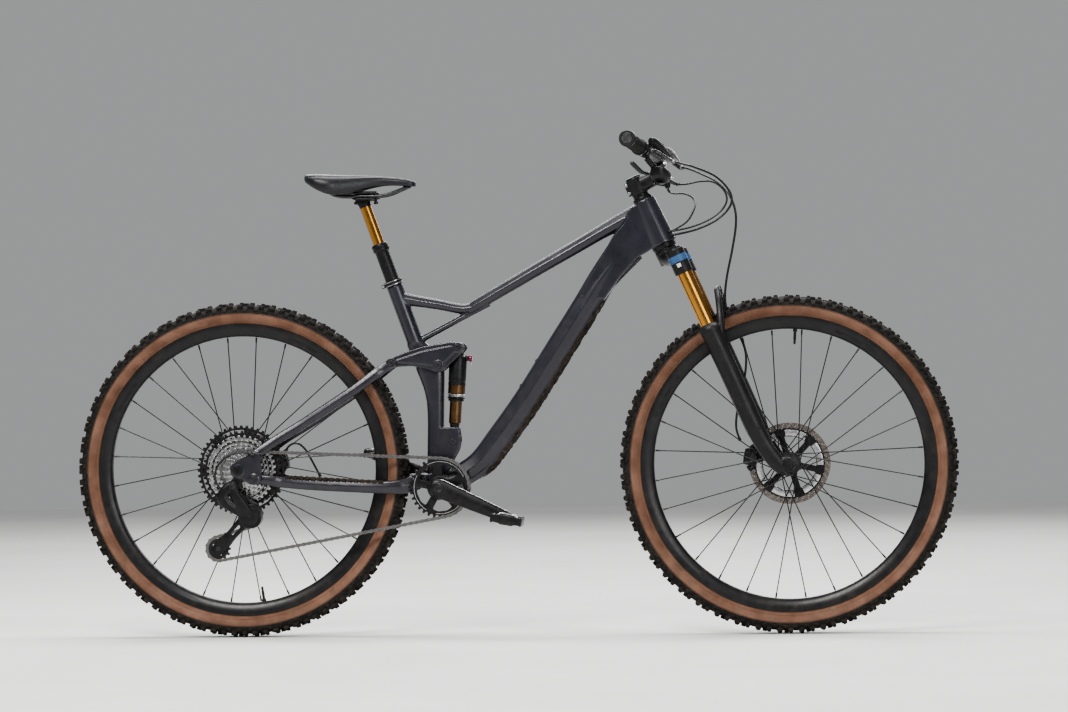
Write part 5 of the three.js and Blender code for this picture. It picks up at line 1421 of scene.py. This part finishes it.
def fork_lowers():
    """Both legs in one casting with the arch, its ribs, the seals and the axle."""
    f, side = STANCHION["forward"], STANCHION["side"]
    leg = [(f, side, -318, 23.2, 23.2, 0.95), (f, side, -328, 23.4, 23.4, 0.95),
           (f, side, -336, 22.4, 22.4, 0.95), (f, side, -440, 22, 22, 0.95),
           (f, side, -545, 21.5, 21.5, 0.95), (20.4, 66.4, -570, 17.4, 20.2, 0.9),
           (23.5, 68.6, -606, 12.8, 18.2, 0.85), (31.5, 69, -642, 12.6, 18, 0.85),
           (40, 69, -662, 12.2, 16, 0.85)]
    drop = cross_bar((0, 0), 56.2, 79.8, 17.2, 40, soften=1)
    drop = moved(drop, Matrix.Translation((AXLE["forward"], 0, AXLE["up"])))
    half = [(33, 66, -348, 9, 10, 0.8), (40, 65, -334, 8, 10.5, 0.8), (49, 61, -310, 7.4, 9.6, 0.7),
            (57, 53, -287, 7.2, 9, 0.7), (63, 40, -266, 7, 8.8, 0.7), (66.6, 20, -250.5, 7, 8.6, 0.7),
            (67.4, 0, -246.5, 7, 8.6, 0.7)]
    other = [(a, -b, *rest) for a, b, *rest in half[:-1]][::-1]
    shapes = both_sides(tube(leg, 40, 6)) + both_sides(drop) + [tube(half + other, 24, 6, (1, 0, 0))]
    piece("lowers_casting", [moved(s, STEERING) for s in shapes], ["fork"], "fork_lower", ["fork_lowers"],
          voxel=1.7, relax=4, sharp=60)
    ribs = []
    rib_path = smooth([(a + 7.4, b, c) for a, b, c, *_ in half + other], 4)
    for i in range(8, len(rib_path) - 8, 3):
        p = Vector(rib_path[i])
        ahead = (Vector(rib_path[i + 1]) - p).normalized()
        fore = Vector((1, 0, 0))
        radial = ahead.cross(fore).normalized()
        ribs.append(rod(p - radial * 7.4, p + radial * 7.4, 1.25, 8))
    for edge in (-7.6, 7.6):
        line = []
        for i in range(6, len(rib_path) - 6):
            p = Vector(rib_path[i])
            ahead = (Vector(rib_path[i + 1]) - p).normalized()
            line.append(tuple(p + ahead.cross(Vector((1, 0, 0))).normalized() * edge))
        ribs.append(hose(line, 1.2, 1, 8))
    piece("arch_ribs", [moved(r, STEERING) for r in ribs], ["fork"], "fork_lower")
    seals, o_rings, feet = [], [], []
    for y in (-side, side):
        place = STEERING @ Matrix.Translation((f, y, 0))
        seals.append(turned_up([(17.1, -312), (18.2, -310), (19.4, -311), (20.6, -313), (22.6, -316),
                                (23.4, -319), (23.4, -321), (17.1, -321)], place, 48))
        o_rings.append(turned_up([(17.05, -310.6), (18.3, -310), (18.3, -308.6), (17.05, -308)], place, 40))
        feet.append(turned_up([(0, -682), (6, -682), (7.4, -680), (7.4, -668), (0, -668)],
                              STEERING @ Matrix.Translation((46, y * 1.06, 0)), 24))
    piece("fork_seals", seals + o_rings, ["plastic"], "fork_lower")
    piece("fork_foot_nuts", feet, ["black"], "fork_lower")
    axle = [cross_bar(FRONT_HUB, -81.8, 83.8, 7.4, 32)]
    axle += bolt(FRONT_HUB, 82.4, 1, 9.4, 3.6, 3.2)
    axle += bolt(FRONT_HUB, -80.2, -1, 10.5, 2.2, 3.4)
    piece("front_axle_pin", axle, ["black"], "fork_lower", ["front_axle"], bevel=0.3)


def caliper(name, centre, radius, y, direction, body, node):
    """Two halves bolted across the rotor, with fins on the pads and a banjo for the hose."""
    place = (Matrix.Translation((centre[0], 0, centre[1])) @ Matrix.Rotation(-direction, 4, "Y")
             @ Matrix.Translation((radius - 3, y, 0)))
    halves = []
    for low, high in ((-13.8, -3.3), (3.3, 12.8)):
        halves.append(plate(rounded([(-14.6, -18.4), (12, -18.4), (14.6, -8), (14.6, 8), (12, 18.4),
                                     (-14.6, 18.4)], 5, 4), low, high))
    bridge = plate(rounded([(5, -17), (14.4, -17), (14.4, 17), (5, 17)], 3, 3), -3.6, 3.6)
    piece(name + "_halves", [moved(s, place) for s in halves + [bridge]], ["black"], body, [node], bevel=1.0)
    bracket = tube([(-10, -9, -20, 5, 4, 0.7), (-4, -10, -27, 5.4, 4.4, 0.7), (2, -9, -20, 5, 4, 0.7)], 16, 4)
    arm = tube([(-10, -9, 20, 5, 4, 0.7), (-4, -10, 27, 5.4, 4.4, 0.7), (2, -9, 20, 5, 4, 0.7)], 16, 4)
    piece(name + "_bracket", [moved(s, place) for s in (bracket, arm)], ["black"], body)
    fins = [block((-8 + 3.2 * k, -6.6 + 3.2 * k), (-3.5, -1.6), (-8, 8)) for k in range(4)]
    piece(name + "_pad_fins", [moved(s, place) for s in fins], ["steel"], body)
    screws = []
    for dz in (-13.6, 13.6):
        screws += bolt((6, dz), -13.9, -1, 3.8, 2.6, 1.9)
        screws += bolt((6, dz), 12.9, 1, 3.8, 2.0, 1.9)
    screws.append(cross_bar((-6, 0), -14.6, -13.2, 8.4, 28))
    piece(name + "_screws", [moved(s, place) for s in screws], ["dark_steel"], body, bevel=0.2)


# ------------------------------------------------------------------ cockpit
BAR_CENTRE = STEERING @ Vector((57, 0, 35))
BAR_HALF = [(0, 0, 0), (0, 28, 0), (-1, 45, 4), (-3, 80, 26), (-6, 105, 33.5), (-42, 383, 62.5)]


def bar_point(y):
    """The middle of the bar at a distance from the centre, on its straight outer part."""
    reach = abs(y)
    inner, outer = BAR_HALF[-2:]
    t = (reach - inner[1]) / (outer[1] - inner[1])
    return Vector((BAR_CENTRE.x + inner[0] + t * (outer[0] - inner[0]), y,
                   BAR_CENTRE.z + inner[2] + t * (outer[2] - inner[2])))


def stem():
    """The forging from steerer to bar, its screws and its top cap."""
    clamp = rod((0, 0, 14.4), (0, 0, 53), 19.2, 44, 18.2, soften=1.2)
    neck = tube([(2, 0, 33, 17, 18.4, 0.7), (24, 0, 33.5, 16, 17.6, 0.7), (44, 0, 34.5, 17.6, 17, 0.7),
                 (54, 0, 35, 19, 17, 0.7)], 30, 4)
    shell = rod((57, -23.8, 35), (57, 23.8, 35), 20.2, 44, soften=1.5)
    lug = block((-24.5, -14), (-9.5, 9.5), (19, 49))
    piece("stem_forging", [moved(s, STEERING) for s in (clamp, neck, shell, lug)], ["satin"], "steering",
          ["stem"], voxel=1.1, relax=3, sharp=60)
    # a dark matte sheet filling the faceplate split: painted shade of the gap between faceplate and stem
    joint = [moved(block((61.5, 62.6), (-23.9, 23.9), (14.6, 55.4)), STEERING)]
    piece("stem_faceplate_gap_shade", joint, ["mark"], "steering")
    screws = []
    for height in (25, 43):
        screws.append(rod((-20.8, -11.6, height), (-20.8, 11.6, height), 3.8, 20, soften=0.5))
    for y in (-16, 16):
        for height in (17.5, 52.5):
            screws.append(rod((60, y, height), (79.2, y, height), 3.4, 18, soften=0.6))
    piece("stem_screws", [moved(s, STEERING) for s in screws], ["steel"], "steering")
    cap = turned_up([(0, 52.8), (17.4, 52.8), (17.8, 53.6), (17.2, 55.6), (14, 56.6), (5, 56.6), (4.2, 55),
                     (0, 55)], STEERING, 44)
    piece("stem_cap", [cap], ["black"], "steering")


def handlebar():
    """A riser bar, thick in the clamp and thinner at the grips."""
    half = [(BAR_CENTRE.x + x, y, BAR_CENTRE.z + z) for x, y, z in BAR_HALF]
    radii = [15.85, 15.85, 15.7, 14, 11, 11]
    side = [(*p, r, r, 1) for p, r in zip(half, radii)]
    path = [(x, -y, z, *rest) for x, y, z, *rest in side[:0:-1]] + side
    piece("bar_tube", [tube(path, 36, 6, (0, 0, 1))], ["satin"], "steering", ["handlebar"])


def grip(side, name):
    """A ribbed rubber sleeve between two rings, with a plug in the end of the bar."""
    def at(y):
        return bar_point(side * y)

    start, end = at(267), at(378)
    axis = (end - start).normalized()
    sleeve = []
    count = 37
    rows = []
    sides = 40
    flat = Vector((0, 0, 1)) - axis * axis.z
    flat.normalize()
    other = axis.cross(flat)
    for k in range(count * 4 + 1):
        t = k / (count * 4)
        p = start + (end - start) * t
        ring = []
        for j in range(sides):
            a = j / sides * TAU
            groove = 0.0 if k % 4 in (1, 2) else 0.75
            zone = 1.0 if math.cos(a) < 0.55 else 0.35
            r = 15.3 + 0.9 * t + groove * zone - 0.2
            ring.append(p + flat * (math.cos(a) * r) + other * (math.sin(a) * r))
        rows.append(ring)
    sleeve.append(grid(rows))
    piece(name + "_sleeve", sleeve, ["grip"], "steering", [name], sharp=50)
    rings = [rod(at(256.2), at(265.6), 17.8, 44, soften=1.1), rod(at(376), at(385.4), 18.4, 44, 17.8,
                                                                  soften=1.6)]
    piece(name + "_end_rings", rings, ["black"], "steering")
    p = at(261)
    screw = rod(p + Vector((4, 0, -18.6)), p + Vector((4, 0, -14)), 2.6, 16)
    piece(name + "_screw", [screw], ["steel"], "steering")
    end_ring = rod(at(385), at(386.4), 11.4, 40, soften=0.4)
    piece(name + "_plug", [end_ring], ["dark_steel"], "steering")


def bar_clamp(side, y, width, radius):
    """A band round the bar that holds a control."""
    a, b = bar_point(side * (y - width / 2)), bar_point(side * (y + width / 2))
    return rod(a, b, radius, 40, soften=0.8)


def brake(side, name):
    """A master cylinder on the bar, and its lever on a body of its own."""
    s = side
    path = [(326, 238, 1071.5, 6.5, 6.5, 0.95), (329, 234, 1070.5, 8.4, 8.8, 0.9),
            (334, 222, 1067, 10.8, 9.8, 0.85), (345, 195, 1055, 10.8, 9.6, 0.85),
            (354, 170, 1044, 8.4, 8.2, 0.9), (361, 157, 1036, 6, 6, 1), (365, 150, 1031, 4.6, 4.6, 1)]
    cylinder = tube([(x, s * y, z, *rest) for x, y, z, *rest in path], 28, 6, (0, 0, 1))
    clamp = bar_clamp(side, 226, 13, 15.3)
    neck = rod(bar_point(s * 226), (334, s * 224, 1066), 6, 20)
    piece(name + "_casting", [cylinder, clamp, neck], ["black"], "steering", [name], voxel=1.0, relax=3,
          sharp=60)
    cover = tube([(338, s * 214, 1072.5, 1.4, 7, 0.8), (347, s * 194, 1063, 1.4, 7, 0.8)], 20, 4, (0, 0, 1))
    piece(name + "_cover", [cover], ["plastic"], "steering", bevel=0.3)
    screws = [rod((337, s * 218, 1071.5), (338, s * 218, 1074.4), 1.6, 12),
              rod((349, s * 190, 1059), (350, s * 190, 1062.4), 1.6, 12),
              rod((365, s * 152, 1032.5), (369, s * 144, 1028.5), 3.9, 6)]
    piece(name + "_screws", screws, ["steel"], "steering")
    body = "brake_lever_right" if side < 0 else "brake_lever_left"
    blade = [(361, 178, 1033, 5, 6, 0.9), (363, 186, 1031, 5.6, 6.6, 0.8), (364, 205, 1030, 4.6, 6.4, 0.7),
             (361, 228, 1032, 3.6, 5.4, 0.6), (355, 258, 1036, 3.4, 5.8, 0.6),
             (346, 295, 1042.5, 3.4, 6, 0.6), (341.5, 322, 1044.6, 3.4, 5.6, 0.6),
             (342.5, 333, 1045, 3.2, 4.6, 0.8), (345, 337.5, 1045, 2, 2.6, 1)]
    lever = tube([(x, s * y, z, *rest) for x, y, z, *rest in blade], 20, 6, (0, 0, 1))
    piece(name + "_blade", [lever], ["satin"], body, [body])


def shifter():
    """The housing under the right side of the bar, and its paddle."""
    clamp = bar_clamp(-1, 203, 11, 14.6)
    neck = rod((315, -203, 1036), (334, -196, 1012), 6.8, 20)
    housing = tube([(336, -216, 1007.5, 8, 11, 0.8), (338, -212, 1006, 12.4, 17, 0.75),
                    (344, -198, 1000, 14.6, 21, 0.75), (350, -178, 994, 13.4, 17, 0.75),
                    (355, -168, 990.5, 8, 8.6, 0.9)], 30, 6, (0, 0, 1))
    piece("shifter_housing", [clamp, neck, housing], ["plastic"], "steering", ["shifter_body"], voxel=1.0,
          relax=3, sharp=60)
    barrel = rod((356, -168, 990), (373.5, -152.4, 981.2), 4.4, 20, 3.6, soften=0.8)
    disc = rod((341, -198, 976.4), (341.6, -198, 979.6), 12, 32, soften=0.8)
    piece("shifter_barrel", [barrel, disc], ["dark_steel"], "steering")
    lever = tube([(317, -206, 1002, 3.2, 5.6, 0.7), (306, -220, 1005, 3.2, 6.6, 0.7),
                  (297, -229, 1013, 3.2, 7.4, 0.7), (290, -236, 1020.5, 3, 7.4, 0.7),
                  (285.6, -242, 1026.4, 2.4, 5.4, 0.9)], 20, 6, (0, 0, 1))
    piece("shift_paddle", [lever], ["plastic"], "shift_lever", ["shift_lever"])


def remote():
    """The dropper post's small lever under the left side of the bar."""
    clamp = bar_clamp(1, 203, 11, 14.6)
    body = tube([(316, 203, 1036, 8.6, 8.6, 0.9), (324, 199, 1018, 10.4, 10.6, 0.8),
                 (330, 195, 1000, 9.6, 9.8, 0.8), (334, 193, 985, 4.6, 4.8, 1)], 26, 6)
    piece("remote_casting", [clamp, body], ["black"], "steering", ["remote_body"], voxel=1.0, relax=3,
          sharp=60)
    lever = tube([(309, 214, 1008, 3.2, 5.8, 0.7), (300, 226, 1008, 3.2, 6.8, 0.7),
                  (294, 234, 1011.4, 3.2, 8.4, 0.7), (289, 243, 1015.4, 3.2, 8.6, 0.7),
                  (286.4, 251, 1017.8, 2.4, 6.2, 0.9)], 20, 6, (0, 0, 1))
    piece("remote_paddle", [lever], ["satin"], "dropper_lever", ["dropper_lever"])


# ------------------------------------------------------------------ hoses and housings
HOSES = {"rear_brake_hose_front": (2.5, "steering", [(366.5, -148.5, 1030), (385, -120, 1026),
                                                     (412, -80, 1019), (453, -42, 1001), (480, -22, 973),
                                                     (487, -12, 948), (476, -10, 926), (450, -16, 904),
                                                     (415, -19, 888), (385, -18, 880), (352, -14, 874)]),
         "shift_housing_front": (2.1, "steering", [(375.5, -150.5, 980.3), (395, -130, 981),
                                                   (425, -92, 988), (450, -60, 987), (470, -36, 972),
                                                   (477, -24, 950), (466, -22, 928), (440, -26, 908),
                                                   (410, -27, 895), (384, -25, 888), (348, -20, 882)]),
         "dropper_housing": (2.1, "steering", [(334.5, 192.5, 982.5), (338, 182, 976), (352, 150, 971),
                                               (375, 110, 969), (395, 76, 960), (403, 52, 944),
                                               (398, 36, 925), (384, 23, 903), (350, 13, 882)]),
         "front_brake_hose": (2.5, "fork", [(366.5, 148.5, 1030), (385, 125, 1025), (415, 92, 1012),
                                            (450, 64, 993), (477, 46, 966), (491, 42, 930), (492, 46, 893),
                                            (483, 50, 840), (470, 63, 782), (465, 71, 737), (471, 69, 702),
                                            (489, 50, 664), (503, 39, 640), (511, 36, 610), (509, 37, 570),
                                            (498, 37, 520), (489, 42, 480), (487, 49, 448),
                                            (495, 51, 421)]), "rear_brake_hose": (2.5, "rear",
                                                                                  [(-440, 51, 351.5),
                                                                                   (-446, 51, 362),
                                                                                   (-458, 51, 385),
                                                                                   (-472, 51, 410),
                                                                                   (-486, 50, 424),
                                                                                   (-500, 50, 426),
                                                                                   (-512, 53, 419),
                                                                                   (-519, 56, 409)]),
         "derailleur_housing": (2.1, "seatstay", [(-566, -85.5, 404), (-580, -87, 409), (-597, -88, 411),
                                                  (-622, -89, 404), (-642, -91, 388), (-652, -92, 366),
                                                  (-650, -92, 347), (-641, -91, 333), (-626, -90, 325)]),}


def hoses():
    """Every line with a ferrule at each end."""
    for name, (radius, held, points) in HOSES.items():
        body = "seatstay" if held == "seatstay" else None
        run = piece(name + "_run", [hose(points, radius, 10, 14)], ["hose"], body, [name])
        start, end = Vector(points[0]), Vector(points[-1])
        near = rod(start, start + (Vector(points[1]) - start).normalized() * 9, radius + 1.3, 18,
                   radius + 0.7, soften=0.4)
        far = rod(end, end + (Vector(points[-2]) - end).normalized() * 8, radius + 1.2, 18, radius + 0.6,
                  soften=0.4)
        ends = piece(name + "_ferrules", [near, far], ["plastic"], body)
        for obj in (run, ends):
            if held == "steering":
                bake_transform(obj)
            elif held == "fork":
                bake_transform(obj)
            elif held == "rear":
                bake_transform(obj)


# ------------------------------------------------------------------ the scene
FLOOR_REACH = 7000
FLOOR_DEPTH = 60


def studio_floor():
    """A wide flat floor that takes the shadow."""
    reach, depth = FLOOR_REACH, FLOOR_DEPTH
    rows = [[(-reach, y, -depth), (reach, y, -depth), (reach, y, 0), (-reach, y, 0)] for y in (-reach, reach)]
    floor = piece("studio_floor", [grid(rows)], ["floor"], None)


camera()
studio()
studio_floor()
main_frame()
frame_details()
headset()
seat_post()
saddle()
rocker()
seatstays()
chainstay()
shock()
wheels()
cassette()
chainring()
crank_arm(-1)
crank_arm(1)
pedal("pedal_right", PEDAL_RIGHT, -1, "pedal_right", "pedal_right")
pedal("pedal_left", PEDAL_LEFT, 1, "pedal_left", "pedal_left")
chain()
derailleur()
fork_top()
fork_lowers()
caliper("front_caliper", FRONT_HUB, FRONT_ROTOR["radius"], FRONT_ROTOR["y"], math.radians(170), "fork_lower",
        "front_caliper")
caliper("rear_caliper", REAR_HUB, REAR_ROTOR["radius"], REAR_ROTOR["y"], math.radians(11), "seatstay",
        "rear_caliper")
stem()
handlebar()
grip(-1, "grip_right")
grip(1, "grip_left")
brake(-1, "brake_body_right")
brake(1, "brake_body_left")
shifter()
remote()
hoses()
